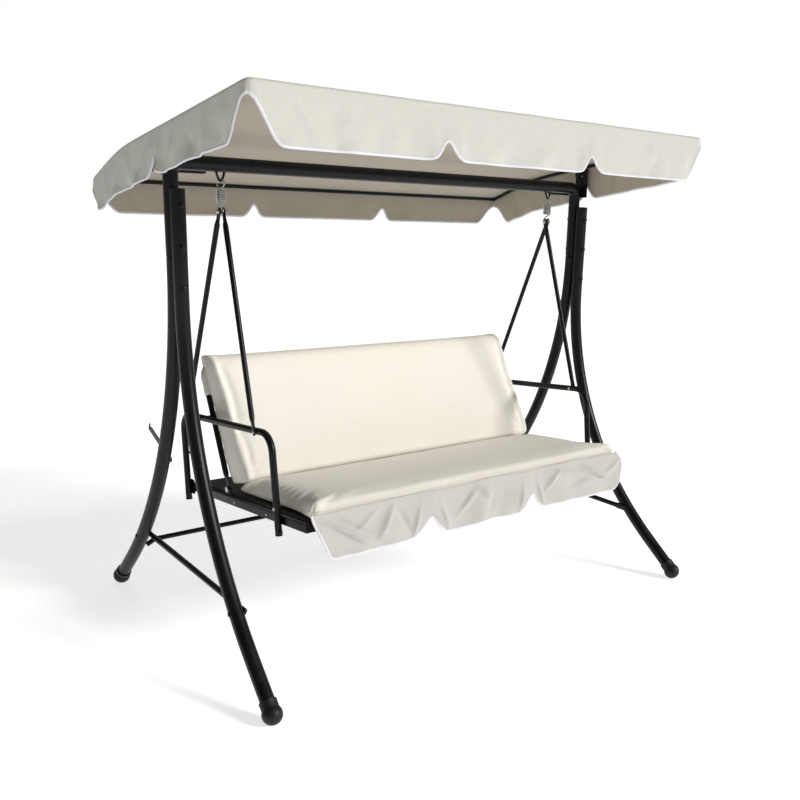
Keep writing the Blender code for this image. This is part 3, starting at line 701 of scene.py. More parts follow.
@dataclass(frozen=True)
class CoatFinish:
    """A hard surface: powder coat, moulded plastic or plated steel.

    Attributes:
        name: the material's name.
        colour: linear colour of the clean surface.
        worn: linear colour where it is scuffed.
        dust: linear colour of settled dust.
        dust_share: how much dust shows at most.
        roughness: clean roughness.
        rough_spread: how far roughness rises on scuffs and dust.
        metallic: 1 for bare plated metal.
        specular: how strongly the coat mirrors at a steep view, 0.5 for a plain coat.
        peel: size of the fine bumps in metres.
        peel_scale: their noise scale.
    """

    name: str
    colour: tuple[float, float, float]
    worn: tuple[float, float, float]
    dust: tuple[float, float, float] = (0.16, 0.155, 0.15)
    dust_share: float = 0.10
    roughness: float = 0.42
    rough_spread: float = 0.16
    metallic: float = 0.0
    specular: float = 0.5
    peel: float = 0.00025
    peel_scale: float = 700.0

    def build(self, coating: bpy.types.NodeTree) -> bpy.types.Material:
        """Make the material.

        Args:
            coating: the shared coat surface group.

        Returns:
            The material.
        """
        material, hand, shader = start_material(self.name)
        place = hand.add("ShaderNodeTexCoord")
        surface = hand.add("ShaderNodeGroup", node_tree=coating)
        hand.wire(place.outputs["Object"], surface.inputs["Vector"])
        surface.inputs["Peel Scale"].default_value = self.peel_scale
        scuffed = hand.mix(surface.outputs["Scuff"], (*self.colour, 1.0), (*self.worn, 1.0))
        dusty = hand.mix(hand.maths("MULTIPLY", surface.outputs["Dust"], self.dust_share),
                         scuffed, (*self.dust, 1.0))
        hand.wire(dusty, shader.inputs["Base Color"])
        wear = hand.maths("MAXIMUM", surface.outputs["Scuff"], surface.outputs["Dust"])
        rough = hand.maths("ADD", hand.maths("MULTIPLY", wear, self.rough_spread), self.roughness)
        hand.wire(rough, shader.inputs["Roughness"])
        shader.inputs["Metallic"].default_value = self.metallic
        shader.inputs["Specular IOR Level"].default_value = self.specular
        add_bump(hand, shader, surface.outputs["Peel"], self.peel, 0.5)
        return material


@dataclass(frozen=True)
class ClothFinish:
    """A woven fabric.

    Attributes:
        name: the material's name.
        thread: linear colour of the threads.
        valley: linear colour where the slub noise runs low.
        soil: linear colour of the faint mottle.
        threads: threads in a metre.
        relief: height of the weave in metres.
        roughness: the fibres' roughness.
        sheen: how much light the fibres catch at a glance.
        by_object: whether the pattern reads Object coordinates, not the cloth's own.
    """

    name: str
    thread: tuple[float, float, float]
    valley: tuple[float, float, float]
    soil: tuple[float, float, float]
    threads: float = 700.0
    relief: float = 0.0006
    roughness: float = 0.85
    sheen: float = 0.25
    by_object: bool = False

    def build(self, weave: bpy.types.NodeTree) -> bpy.types.Material:
        """Make the material.

        Args:
            weave: the shared plain weave group.

        Returns:
            The material.
        """
        material, hand, shader = start_material(self.name)
        place = hand.add("ShaderNodeTexCoord")
        pattern = hand.add("ShaderNodeGroup", node_tree=weave)
        source = place.outputs["Object" if self.by_object else "UV"]
        hand.wire(source, pattern.inputs["Vector"])
        pattern.inputs["Threads"].default_value = self.threads
        woven = hand.mix(hand.ramp(pattern.outputs["Slub"], 0.36, 0.64),
                         (*self.valley, 1.0), (*self.thread, 1.0))
        aged = hand.mix(hand.ramp(pattern.outputs["Soil"], 0.55, 0.85, 0.0, 0.5),
                        woven, (*self.soil, 1.0))
        hand.wire(aged, shader.inputs["Base Color"])
        rough = hand.ramp(pattern.outputs["Height"], 0.0, 1.0, self.roughness + 0.05,
                          self.roughness - 0.05)
        hand.wire(rough, shader.inputs["Roughness"])
        shader.inputs["Sheen Weight"].default_value = self.sheen
        shader.inputs["Sheen Roughness"].default_value = 0.5
        shader.inputs["Specular IOR Level"].default_value = 0.25
        add_bump(hand, shader, pattern.outputs["Height"], self.relief, 0.6)
        return material


class Palette:
    """All finishes, each built once."""

    def __init__(self) -> None:
        """Build the shared groups and then every material."""
        coating, weave = coating_group(), weave_group()
        black = (0.0046, 0.0047, 0.0068)
        self.steel = CoatFinish("powder_coat", black, (0.010, 0.010, 0.012), dust_share=0.04,
                                specular=0.24, roughness=0.36).build(coating)
        self.plastic = CoatFinish("moulded_plastic", (0.006, 0.006, 0.007),
                                  (0.020, 0.020, 0.021), specular=0.3, roughness=0.52,
                                  peel=0.0004, peel_scale=420.0).build(coating)
        self.zinc = CoatFinish("zinc_plate", (0.46, 0.46, 0.455), (0.30, 0.295, 0.28),
                               dust=(0.34, 0.33, 0.31), dust_share=0.15, roughness=0.22,
                               metallic=1.0, peel=0.00008, peel_scale=900.0).build(coating)
        self.canopy = ClothFinish("canopy_cloth", (0.635, 0.634, 0.585), (0.590, 0.588, 0.538),
                                  (0.560, 0.556, 0.505)).build(weave)
        # The canopy's underside has a warmer coat tint of its own. It is also made much darker than
        # the outer cloth as painted shade for the shadow under the roof.
        self.lining_and_shade = ClothFinish("canopy_lining_and_painted_shade", (0.450, 0.410, 0.340), (0.408, 0.372, 0.306),
                                  (0.355, 0.322, 0.264), roughness=0.78, sheen=0.1).build(weave)
        self.cushion = ClothFinish("cushion_cloth", (0.888, 0.862, 0.800), (0.850, 0.824, 0.760),
                                   (0.830, 0.804, 0.740), threads=560.0).build(weave)
        self.skirt = ClothFinish("skirt_cloth", (0.535, 0.514, 0.496), (0.505, 0.485, 0.466),
                                 (0.488, 0.468, 0.450), threads=700.0, relief=0.0004).build(weave)
        self.cushion_seam = ClothFinish("cushion_seam", (0.840, 0.800, 0.710), (0.760, 0.720, 0.630),
                                        (0.740, 0.700, 0.610), threads=900.0,
                                        by_object=True).build(weave)
        self.piping = ClothFinish("white_binding", (0.80, 0.80, 0.86), (0.74, 0.74, 0.80),
                                  (0.80, 0.80, 0.85), threads=900.0, by_object=True).build(weave)
        self.sling = ClothFinish("sling_mesh", (0.016, 0.016, 0.018), (0.004, 0.004, 0.005),
                                 (0.022, 0.021, 0.020), threads=330.0, relief=0.0012,
                                 roughness=0.62, sheen=0.0).build(weave)


# ---- fasteners ---------------------------------------------------------------------------
def hex_bolt(base: tuple[float, float, float], direction: tuple[float, float, float],
             size: float = 0.008, washer: bool = True) -> Part:
    """Return a hexagon head on its washer, standing on a surface.

    Args:
        base: where the washer touches.
        direction: the way the head stands.
        size: the shank's diameter, which sets all sizes.
        washer: whether a washer lies under the head.

    Returns:
        The head and washer.
    """
    wide, tall, disc = size * 0.92, size * 0.62, size * 0.20 if washer else 0.0
    head = turned([(0.0, disc), (wide, disc), (wide, disc + tall * 0.82),
                   (wide * 0.86, disc + tall), (0.0, disc + tall)], base, direction, sides=6)
    if not washer:
        return head
    ring = turned([(0.0, 0.0), (size * 1.1, 0.0), (size * 1.1, disc * 0.7),
                   (size * 1.02, disc), (0.0, disc)], base, direction, sides=24)
    return joined([ring, head])


def dome_bolt(base: tuple[float, float, float], direction: tuple[float, float, float],
              radius: float = 0.007) -> Part:
    """Return a low domed bolt head or rivet standing on a surface.

    Its profile is a quarter ellipse from the rim to the crown.

    Args:
        base: where it touches.
        direction: the way it stands.
        radius: the head's radius; its height is half of that.

    Returns:
        The head.
    """
    rise = np.linspace(0.0, math.pi / 2, 7)[:-1]
    crown = [(radius * math.cos(turn), radius * (0.12 + 0.42 * math.sin(turn))) for turn in rise]
    return turned([(0.0, 0.0), (radius, 0.0), *crown, (0.0, radius * 0.54)], base, direction,
                  sides=20)


# ---- stand -------------------------------------------------------------------------------
@dataclass
class Stand:
    """The legs, posts, beam, braces and their fastenings."""

    palette: Palette
    leg_radius: float = 0.025
    post_x: float = 0.971
    post_y: float = 0.0252
    foot_z: float = 0.033
    foot_radius: float = 0.034
    straight_z: float = 0.15
    front_bend: tuple[float, float, float] = (1.25, 1.43, 0.066)    # height, radius, splay
    rear_bend: tuple[float, float, float] = (1.396, 1.72, 0.027)
    front_top: float = 1.6155
    beam_z: float = 1.705
    elbow_radius: float = 0.036
    beam_joint_x: float = 0.69
    joint_gap: float = 0.0016
    swage: tuple[float, float] = (0.0212, 0.034)                    # radius, length
    bolt_heights: tuple[float, ...] = (1.565, 1.431, 1.297)
    brace_radius: float = 0.011
    brace_heights: tuple[float, float] = (0.272, 0.288)
    stretcher: tuple[float, float] = (0.010, 0.247)                 # radius, height

    def axis(self, z: Array, facing: int) -> Array:
        """Return a right-hand leg's axis at given heights.

        Below its bend height the leg is a circular arc that leaves the upright line, and
        below straight_z it runs on straight. It spreads sideways with its reach.

        Args:
            z: the heights.
            facing: -1 for the front leg, 1 for the rear.

        Returns:
            The points, shape (n, 3).
        """
        bend_z, radius, splay = self.front_bend if facing < 0 else self.rear_bend
        z = np.asarray(z, float)
        drop = np.maximum(0.0, bend_z - np.maximum(z, self.straight_z))
        root = np.sqrt(radius ** 2 - drop ** 2)
        reach = radius - root + np.maximum(0.0, self.straight_z - z) * drop / root
        return np.stack([self.post_x + splay * reach, facing * (self.post_y + reach), z], axis=-1)

    def leg(self, facing: int) -> Part:
        """Return a right-hand leg, its upper rim slightly rounded over.

        Args:
            facing: -1 for the front leg, 1 for the rear.

        Returns:
            The tube.
        """
        top = self.front_top if facing < 0 else self.rear_bend[0]
        z = np.concatenate([[top, top - 0.0012], np.linspace(top - 0.004, self.foot_z + 0.003, 70)])
        half = np.full(len(z), self.leg_radius)
        half[0] -= 0.0009
        return tube(self.axis(z, facing), np.stack([half, half], axis=-1), sides=40)

    def foot(self, facing: int) -> Part:
        """Return a right-hand ball foot: a ball cut flat below, with a ribbed collar.

        Args:
            facing: -1 for the front leg, 1 for the rear.

        Returns:
            The ball and collar.
        """
        end, above = self.axis(np.array([self.foot_z + 0.002, self.foot_z + 0.102]), facing)
        centre = np.array([end[0], end[1], self.foot_z])
        flat = math.asin(-self.foot_z / self.foot_radius)
        turns = np.linspace(flat, math.pi / 2, 26)
        seam = 1.0 + 0.022 * np.exp(-(turns / 0.035) ** 2)
        ball = [(0.0, -self.foot_z)]
        ball += [(self.foot_radius * math.cos(t) * s, self.foot_radius * math.sin(t))
                 for t, s in zip(turns[:-1], seam)]
        ball += [(0.0, self.foot_radius)]
        upward = above - end
        collar = [(0.0, 0.012), (0.0292, 0.012), (0.0292, 0.037), (0.0300, 0.0385),
                  (0.0300, 0.0425), (0.0288, 0.044), (0.0262, 0.0445), (0.0, 0.0445)]
        return joined([turned(ball, centre, np.array([0, 0, 1.0]), sides=48),
                       turned(collar, end, upward, sides=48)])

    def post(self) -> Part:
        """Return the right-hand corner post: swaged foot, upright, elbow and beam end."""
        neck_z = self.rear_bend[0] + self.joint_gap
        bend = rounded_path([(self.post_x, self.post_y, neck_z),
                             (self.post_x, self.post_y, self.beam_z),
                             (self.beam_joint_x, self.post_y, self.beam_z)],
                            self.elbow_radius, steps=18)
        foot = [[self.post_x, self.post_y, neck_z - below] for below in (self.swage[1], 0.0008)]
        rim = [[self.post_x, self.post_y, neck_z + 0.0010]]
        path = np.concatenate([foot, bend[:1], rim, bend[1:]])
        half = np.full(len(path), self.leg_radius)
        half[:2] = self.swage[0]
        half[2] -= 0.0008
        return tube(path, np.stack([half, half], axis=-1), sides=40)

    def beam(self) -> Part:
        """Return the beam, swaged at both ends into the corner posts."""
        reach = self.beam_joint_x - self.joint_gap
        half_x = np.array([reach + self.swage[1], reach + 0.0008, reach, reach - 0.001, 0.3])
        x = np.concatenate([-half_x, half_x[::-1]])
        path = np.stack([x, np.full_like(x, self.post_y), np.full_like(x, self.beam_z)], axis=-1)
        half = np.array([self.swage[0]] * 2 + [self.leg_radius - 0.0008] + [self.leg_radius] * 2)
        half = np.concatenate([half, half[::-1]])
        return tube(path, np.stack([half, half], axis=-1), sides=40)

    def brace(self) -> Part:
        """Return the right-hand side brace with its pressed ends."""
        ends = []
        for facing, z in zip((-1, 1), self.brace_heights):
            point = self.axis(np.array([z]), facing)[0]
            inset = self.leg_radius * 1.01 + 0.0003 + self.brace_radius * 0.27
            ends.append(point - np.array([inset, 0.0, 0.0]))
        return flattened_bar(ends[0], ends[1], self.brace_radius)

    def rear_bar(self) -> Part:
        """Return the stretcher between the rear legs, bent down at its ends."""
        radius, height = self.stretcher
        axis = self.axis(np.array([height]), 1)[0]
        reach = axis[0] - self.leg_radius - 0.0035
        corners = [(reach, axis[1], height - 0.018), (reach - 0.035, axis[1], height),
                   (0.0, axis[1], height)]
        half = rounded_path(corners, 0.05, steps=10)[:-1]
        return tube(np.concatenate([half, half[::-1] * np.array([-1.0, 1.0, 1.0])]), radius,
                    sides=24)

    def leg_top_cap(self) -> Part:
        """Return the plug that closes the right-hand front leg: a low dome with a lip."""
        r = self.leg_radius
        profile = [(0.0, -0.006), (r * 0.93, -0.006), (r * 0.93, 0.0), (r * 1.02, 0.0002),
                   (r * 1.03, 0.0022), (r * 0.97, 0.0040), (r * 0.7, 0.0049), (0.0, 0.0054)]
        base = np.array([self.post_x, -self.post_y, self.front_top])
        return turned(profile, base, np.array([0, 0, 1.0]), sides=40)

    def post_bolt(self, z: float) -> Part:
        """Return a through bolt from a front leg to its post: head, washers and nut.

        Args:
            z: its height.

        Returns:
            The bolt on the right-hand side.
        """
        reach = self.post_y + self.leg_radius
        head = dome_bolt((self.post_x, -reach - 0.0012, z), (0, -1, 0), radius=0.0098)
        washer = turned([(0.0, 0.0), (0.0118, 0.0), (0.0118, 0.0014), (0.0, 0.0014)],
                        np.array([self.post_x, -reach + 0.0003, z]), np.array([0, -1.0, 0]))
        shank = tube(np.array([[self.post_x, -reach, z], [self.post_x, reach + 0.010, z]]),
                     0.0038, sides=16)
        nut = hex_bolt((self.post_x, reach - 0.0002, z), (0, 1, 0))
        return joined([head, washer, shank, nut])

    def spring_loop(self) -> Part:
        """Return the right-hand V loop under the beam, from which the spring hangs."""
        hang_x, low_z, bend, spread = 0.794, 1.652, 0.008, 0.0145
        turns = np.radians(np.linspace(-165, -15, 19))
        x = np.concatenate([[-spread], bend * np.cos(turns), [spread]]) + hang_x
        top = self.beam_z - self.leg_radius - 0.0008
        z = np.concatenate([[top], low_z + bend + bend * np.sin(turns), [top]])
        rod = tube(np.stack([x, np.full_like(x, self.post_y), z], axis=-1), 0.004, sides=18)
        welds = []
        for across in (-spread, spread):
            bead = [(0.0, 0.0), (0.0066, 0.0), (0.0056, 0.0022), (0.0041, 0.0034), (0.0, 0.0036)]
            welds.append(turned(bead, np.array([hang_x + across * 0.99, self.post_y, top + 0.0012]),
                                np.array([0, 0, -1.0]), sides=20))
        return joined([rod, *welds])

    def trim(self) -> Part:
        """Return the right-hand small fastenings that have no CAD nodes of their own."""
        parts = []
        for facing, z in zip((-1, 1), self.brace_heights):
            point = self.axis(np.array([z]), facing)[0]
            inner = point[0] - self.leg_radius - self.brace_radius * 0.54 - 0.0006
            parts.append(hex_bolt((inner, point[1], z), (-1, 0, 0)))
            parts.append(dome_bolt((point[0] + self.leg_radius - 0.0004, point[1], z),
                                   (1, 0, 0), radius=0.0085))
        for z in (0.236, 0.178, 0.129):
            point = self.axis(np.array([z]), 1)[0]
            ahead = self.axis(np.array([z + 0.02]), 1)[0] - point
            lower = np.array([0.0, -ahead[2], ahead[1]])
            lower *= -self.leg_radius / np.linalg.norm(lower)
            parts.append(hex_bolt(tuple(point + lower * 0.985), tuple(lower), size=0.007))
        point = self.axis(np.array([0.450]), 1)[0]
        parts.append(dome_bolt((point[0] + self.leg_radius - 0.0005, point[1], 0.450), (1, 0, 0),
                               radius=0.0045))
        bar_z, bar_y = self.beam_z - 0.025, self.post_y + self.leg_radius + 0.0095
        slim = np.array([[self.post_x + 0.050, bar_y, bar_z], [self.post_x + 0.046, bar_y, bar_z],
                         [self.post_x - 0.130, bar_y, bar_z], [self.post_x - 0.142, bar_y, bar_z]])
        parts.append(tube(slim, np.array([[0.0035, 0.0068], [0.0045, 0.0080], [0.0045, 0.0080],
                                          [0.0030, 0.0030]]), sides=20, squareness=5.0))
        for x in (0.71, 0.535):
            parts.append(dome_bolt((x, self.post_y - self.leg_radius + 0.0006, self.beam_z),
                                   (0, -1, 0), radius=0.0052))
        return joined(parts)

    def build(self) -> None:
        """Make every piece of the stand and dress the CAD nodes that stay."""
        steel, plastic = [self.palette.steel], [self.palette.plastic]
        pairs: list[tuple[str, Part, list[bpy.types.Material], Slot]] = []
        for facing, word in ((-1, "front"), (1, "rear")):
            pairs.append((f"{word}_leg", self.leg(facing), steel, Slot.STEEL))
            pairs.append((f"foot_{word}", self.foot(facing), plastic, Slot.PLASTIC))
        pairs += [("corner_post", self.post(), steel, Slot.STEEL),
                  ("side_brace", self.brace(), steel, Slot.STEEL),
                  ("front_leg_cap", self.leg_top_cap(), plastic, Slot.PLASTIC),
                  ("spring_loop", self.spring_loop(), steel, Slot.STEEL)]
        pairs += [(f"post_bolt_#_{number}", self.post_bolt(z), steel, Slot.STEEL)
                  for number, z in enumerate(self.bolt_heights, start=1)]
        for label, side in SIDES:
            for base, part, materials, slot in pairs:
                node = base.replace("#", label) if "#" in base else f"{base}_{label}"
                make_object(f"{node}_finish", part.on_side(side), materials,
                            Body.STAND, replaces=(node,))
            trim = self.trim()
            make_object(f"stand_fastenings_{label}", trim.on_side(side), steel,
                        Body.STAND)
            dress_node(f"tilt_plate_{label}", self.palette.steel)
        dress_node("rear_leg_hook_left", self.palette.steel)
        make_object("top_beam_finish", self.beam(), steel, Body.STAND,
                    replaces=("top_beam",))
        make_object("rear_stretcher_finish", self.rear_bar(), steel, Body.STAND,
                    replaces=("rear_stretcher",))


# ---- canopy ------------------------------------------------------------------------------
@dataclass
class CanopyFrame:
    """The rails under the canopy's cloth, its pivots and its knobs."""

    palette: Palette
    pivot: tuple[float, float] = (0.010, 1.7975)                    # Y, Z
    rail_radius: float = 0.007
    rail_x: float = 1.0075
    rail_span: tuple[float, float] = (-0.604, 0.627)
    slopes: tuple[float, float] = (0.155, 0.36)
    kink: tuple[float, float] = (0.36, 0.05)                        # Y, width
    rail_end_radius: float = 0.0060
    rail_gap: float = 0.0003
    knob_turn: float = math.radians(-62.5)
    knob_reach: float = 0.038
    knob_lobes: int = 8
    lobe_depth: float = 0.085                                       # of the knob's radius
    knob_points: int = 48
    plate_x: float = 0.9981

    def height(self, y: Array) -> Array:
        """Return the rails' axis height: two straight runs joined by a soft bend.

        The second run's extra slope enters through width * log(1 + exp((y - bend) / width)).

        Args:
            y: distances back.

        Returns:
            The heights.
        """
        bend = np.log1p(np.exp((np.asarray(y) - self.kink[0]) / self.kink[1])) * self.kink[1]
        return (self.pivot[1] - self.slopes[0] * (y - self.pivot[0])
                - (self.slopes[1] - self.slopes[0]) * bend)

    def side_rail(self) -> Part:
        """Return the right-hand side rail with its tilt lug."""
        y = np.concatenate([[self.rail_span[0]], np.linspace(-0.60, 0.62, 60), [self.rail_span[1]]])
        rail = tube(np.stack([np.full_like(y, self.rail_x), y, self.height(y)], axis=-1),
                    self.rail_radius, sides=22)
        knob = self.knob_place()
        mid = (np.array(self.pivot) + np.array(knob)) / 2
        lug = tube(np.array([[self.rail_x - 0.0068, mid[0], mid[1]],
                             [self.rail_x - 0.0038, mid[0], mid[1]]]),
                   np.array([[self.knob_reach / 2 + 0.0065, 0.0065]] * 2), sides=28, squareness=3.4)
        turn = (Matrix.Translation(Vector((0.0, mid[0], mid[1])))
                @ Matrix.Rotation(self.knob_turn, 4, "X")
                @ Matrix.Translation(Vector((0.0, -mid[0], -mid[1]))))
        return joined([rail, lug.moved(turn)])

    def knob_place(self) -> tuple[float, float]:
        """Return the knob's (Y, Z)."""
        return (self.pivot[0] + self.knob_reach * math.cos(self.knob_turn),
                self.pivot[1] + self.knob_reach * math.sin(self.knob_turn))

    def cross_rail(self, y: float) -> Part:
        """Return a rail across, its ends drawn in a little.

        Args:
            y: its distance back.

        Returns:
            The rail.
        """
        reach = self.rail_x - self.rail_radius - self.rail_gap
        x = np.array([-1.0, -0.996, 0.996, 1.0]) * reach
        z = float(self.height(np.array([y]))[0])
        drawn, full = [self.rail_end_radius] * 2, [self.rail_radius] * 2
        path = np.stack([x, np.full(4, y), np.full(4, z)], axis=-1)
        return tube(path, np.array([drawn, full, full, drawn]), sides=22)

    def knob(self) -> Part:
        """Return the right-hand star knob with its stud: soft lobes round a boss.

        A ring's radius is multiplied by 1 + lobe_depth * cos(knob_lobes * angle).
        """
        y, z = self.knob_place()
        around = self.knob_points
        turn = np.linspace(0.0, 2 * math.pi, around, endpoint=False)
        lobes = 1.0 + self.lobe_depth * np.cos(self.knob_lobes * turn)
        profile = [(0.0085, 0.0088), (0.0118, 0.0105), (0.0126, 0.0130), (0.0126, 0.0200),
                   (0.0112, 0.0232), (0.0070, 0.0243)]
        rings = np.array([[[r * w * math.cos(t), r * w * math.sin(t), h]
                           for t, w in zip(turn, lobes)] for r, h in profile])
        points = np.concatenate([rings.reshape(-1, 3), [[0, 0, 0.0088], [0, 0, 0.0243]]])
        faces = grid_faces(len(profile), around, wrap=True)
        low, high, last = len(points) - 2, len(points) - 1, (len(profile) - 1) * around
        faces += fan(low, 0, around, inwards=True)
        faces += fan(high, last, around)
        star = Part(points, faces)
        stud = turned([(0.0, -0.0030), (0.0056, -0.0030), (0.0056, 0.0), (0.0030, 0.0),
                       (0.0030, 0.0090), (0.0, 0.0090)], np.zeros(3), np.array([0, 0, 1.0]))
        turn_to = Vector((-1, 0, 0)).to_track_quat("Z", "Y").to_matrix().to_4x4()
        place = Matrix.Translation(Vector((self.plate_x + 0.0056, y, z))) @ turn_to
        return joined([star, stud]).moved(place)

    def pivot_bolt(self) -> Part:
        """Return the right-hand bolt that the canopy tilts on, with its locking nut."""
        y, z = self.pivot
        outer = self.rail_x + self.rail_radius + 0.0003
        head = dome_bolt((outer, y, z), (1, 0, 0), radius=0.0058)
        shank = tube(np.array([[outer + 0.001, y, z], [self.plate_x - 0.0085, y, z]]), 0.0029,
                     sides=16)
        nut = hex_bolt((self.plate_x - 0.0018, y, z), (-1, 0, 0), size=0.006)
        return joined([head, shank, nut])

    def build(self) -> None:
        """Make the rails, pivots and knobs on both sides."""
        steel = [self.palette.steel]
        for label, side in SIDES:
            for base, part, materials, slot in (
                    ("canopy_side_rail", self.side_rail(), steel, Slot.STEEL),
                    ("canopy_pivot_bolt", self.pivot_bolt(), [self.palette.zinc], Slot.ZINC),
                    ("tilt_knob", self.knob(), [self.palette.plastic], Slot.PLASTIC)):
                make_object(f"{base}_{label}_finish", part.on_side(side),
                            materials, Body.CANOPY, replaces=(f"{base}_{label}",))
        for word, y in (("front", self.rail_span[0] + 0.008), ("ridge", self.kink[0]),
                        ("rear", self.rail_span[1] - 0.008)):
            make_object(f"canopy_{word}_rail_finish", self.cross_rail(y), steel, Body.CANOPY,
                        replaces=(f"canopy_{word}_rail",))


class Edge(Enum):
    """The canopy's four edges, by their outward direction."""

    FRONT = (0.0, -1.0)
    RIGHT = (1.0, 0.0)
    REAR = (0.0, 1.0)
    LEFT = (-1.0, 0.0)


@dataclass(frozen=True)
class Valance:
    """How one edge's valance hangs.

    Attributes:
        drop: depth between the notches.
        notches: (place along the edge from its middle, height, half width) of each notch.
        corner: half width of the notch at the canopy's corners.
        ripple: size of its folds at the bottom hem.
        wave: length of its folds.
    """

    drop: float
    notches: tuple[tuple[float, float, float], ...]
    corner: float
    ripple: float
    wave: float


@dataclass
class CanopyCover:
    """The cloth over the canopy frame: one sheet, roof and valances, with its binding."""

    palette: Palette
    frame: CanopyFrame
    half_x: float = 1.021
    span_y: tuple[float, float] = (-0.617, 0.640)
    lift: float = 0.0106
    edge_radius: float = 0.013
    corner_radius: float = 0.025
    corner_depth: float = 0.026
    thickness: float = 0.0022
    pitch: float = 0.011
    hem_rows: int = 16

    def valances(self) -> dict[Edge, Valance]:
        """Return the four valances; the side ones are the most creased."""
        side = Valance(0.138, ((-0.005, 0.058, 0.028),), 0.118, 0.0060, 0.190)
        return {
            Edge.FRONT: Valance(0.160, ((-0.330, 0.058, 0.034), (0.345, 0.056, 0.028)), 0.105,
                                0.0040, 0.33),
            Edge.REAR: Valance(0.108, ((-0.345, 0.052, 0.027), (0.320, 0.055, 0.027)), 0.110,
                               0.0040, 0.30),
            Edge.RIGHT: side,
            Edge.LEFT: side,
        }

    def depth(self, edge: Edge, along: Array, half: float) -> Array:
        """Return a valance's depth along its edge.

        Each notch takes height * exp(-(distance / half width)^2) off the drop, and towards a
        corner the depth falls to corner_depth as sin^2 of the distance left.

        Args:
            edge: the edge.
            along: distances from the edge's middle.
            half: half the edge's length.

        Returns:
            The depths.
        """
        valance = self.valances()[edge]
        depth = np.full_like(along, valance.drop)
        for place, height, width in valance.notches:
            depth -= height * np.exp(-((along - place) / width) ** 2)
        left = np.clip((half - np.abs(along)) / valance.corner, 0.0, 1.0)
        rise = np.sin(left * math.pi / 2) ** 2
        return self.corner_depth + (depth - self.corner_depth) * rise

    def stations(self, low: float, high: float) -> Array:
        """Return grid stations across the roof, closer together where it rolls over.

        Args:
            low: first place.
            high: last place.

        Returns:
            The stations.
        """
        roll = self.edge_radius * (1 - np.cos(np.linspace(0.0, math.pi / 2, 6)))
        count = round((high - low - 2 * self.edge_radius) / self.pitch)
        flat = np.linspace(low + self.edge_radius, high - self.edge_radius, count + 1)
        return np.concatenate([low + roll[:-1], flat, (high - roll)[::-1][1:]])

    def roof_height(self, x: Array, y: Array) -> Array:
        """Return the roof's height before its edges roll over.

        The cloth lies on the rails and sags in each bay between them as a product of two
        parabolas, with faint pulls that run from the corners.

        Args:
            x: distances across.
            y: distances back.

        Returns:
            The heights.
        """
        bays = ((self.frame.rail_span[0], self.frame.kink[0], 0.015),
                (self.frame.kink[0], self.frame.rail_span[1], 0.006))
        base = self.frame.height(y) + self.lift
        for start, end, sag in bays:
            share = np.clip((y - start) / (end - start), 0.0, 1.0)
            base = base - sag * 4 * share * (1 - share) * (1 - (x / self.half_x) ** 4)
        flat = np.stack([x, y], axis=-1)
        return base + 0.0009 * smooth_noise(flat, 0.30, SEED) * (1 - (x / self.half_x) ** 4)

    def folds(self, edge: Edge, along: Array, share: Array, depth: Array) -> Array:
        """Return how far a valance stands out at places along and down it.

        Ripples grow towards the hem and drift in phase; the cloth flares
        outwards, and beside each notch its corners curl out a little.

        Args:
            edge: the edge.
            along: distances from the edge's middle.
            share: ways down, 0 at the roof and 1 at the hem.
            depth: the valance's depth there.

        Returns:
            The distances outwards.
        """
        valance = self.valances()[edge]
        number = list(Edge).index(edge)
        flat = np.stack([along, np.zeros_like(along)], axis=-1)
        drift = smooth_noise(flat, 0.35, SEED + 10 + number)
        ripple = np.sin(2 * math.pi * along / valance.wave + 2.2 * drift + number)
        ripple += 0.25 * np.sin(2 * math.pi * along / (valance.wave * 0.43) + 3.0 * drift)
        out = valance.ripple * ripple * share ** 1.6
        out += 0.010 * share + 0.004 * smooth_noise(
            np.stack([along, share * depth], axis=-1), 0.12, SEED + 20 + number) * share
        for place, _, width in valance.notches:
            for way in (-1, 1):
                offset = (along - place - way * width * 1.5) / (width * 0.7)
                out += 0.009 * np.exp(-offset ** 2) * share ** 2.2
        return out

    def creases(self, edge: Edge) -> tuple[Crease, ...]:
        """Return the sharper folds of an edge, placed by (along, depth).

        Args:
            edge: the edge.

        Returns:
            The creases.
        """
        if edge in (Edge.LEFT, Edge.RIGHT):
            return (Crease((-0.50, 0.06), 96, 0.065, 0.018, 0.0188),
                    Crease((-0.36, 0.06), 64, 0.070, 0.016, 0.0126),
                    Crease((-0.27, 0.08), 120, 0.055, 0.015, -0.0126),
                    Crease((-0.15, 0.07), 80, 0.060, 0.017, 0.0147),
                    Crease((0.03, 0.05), 98, 0.070, 0.016, 0.0209),
                    Crease((0.13, 0.08), 70, 0.055, 0.015, -0.0126),
                    Crease((0.24, 0.06), 110, 0.065, 0.017, 0.0167),
                    Crease((0.35, 0.08), 82, 0.055, 0.015, -0.0126),
                    Crease((0.46, 0.06), 99, 0.065, 0.020, 0.0209))
        return (Crease((-0.84, 0.08), 58, 0.090, 0.014, 0.007),
                Crease((-0.70, 0.07), 118, 0.080, 0.020, 0.005),
                Crease((-0.52, 0.09), 64, 0.080, 0.022, 0.005),
                Crease((-0.36, 0.13), 80, 0.045, 0.008, 0.004),
                Crease((-0.28, 0.12), 104, 0.045, 0.008, 0.004),
                Crease((0.32, 0.12), 76, 0.045, 0.008, 0.004),
                Crease((0.72, 0.08), 108, 0.090, 0.014, -0.004),
                Crease((0.90, 0.07), 64, 0.075, 0.011, 0.005))

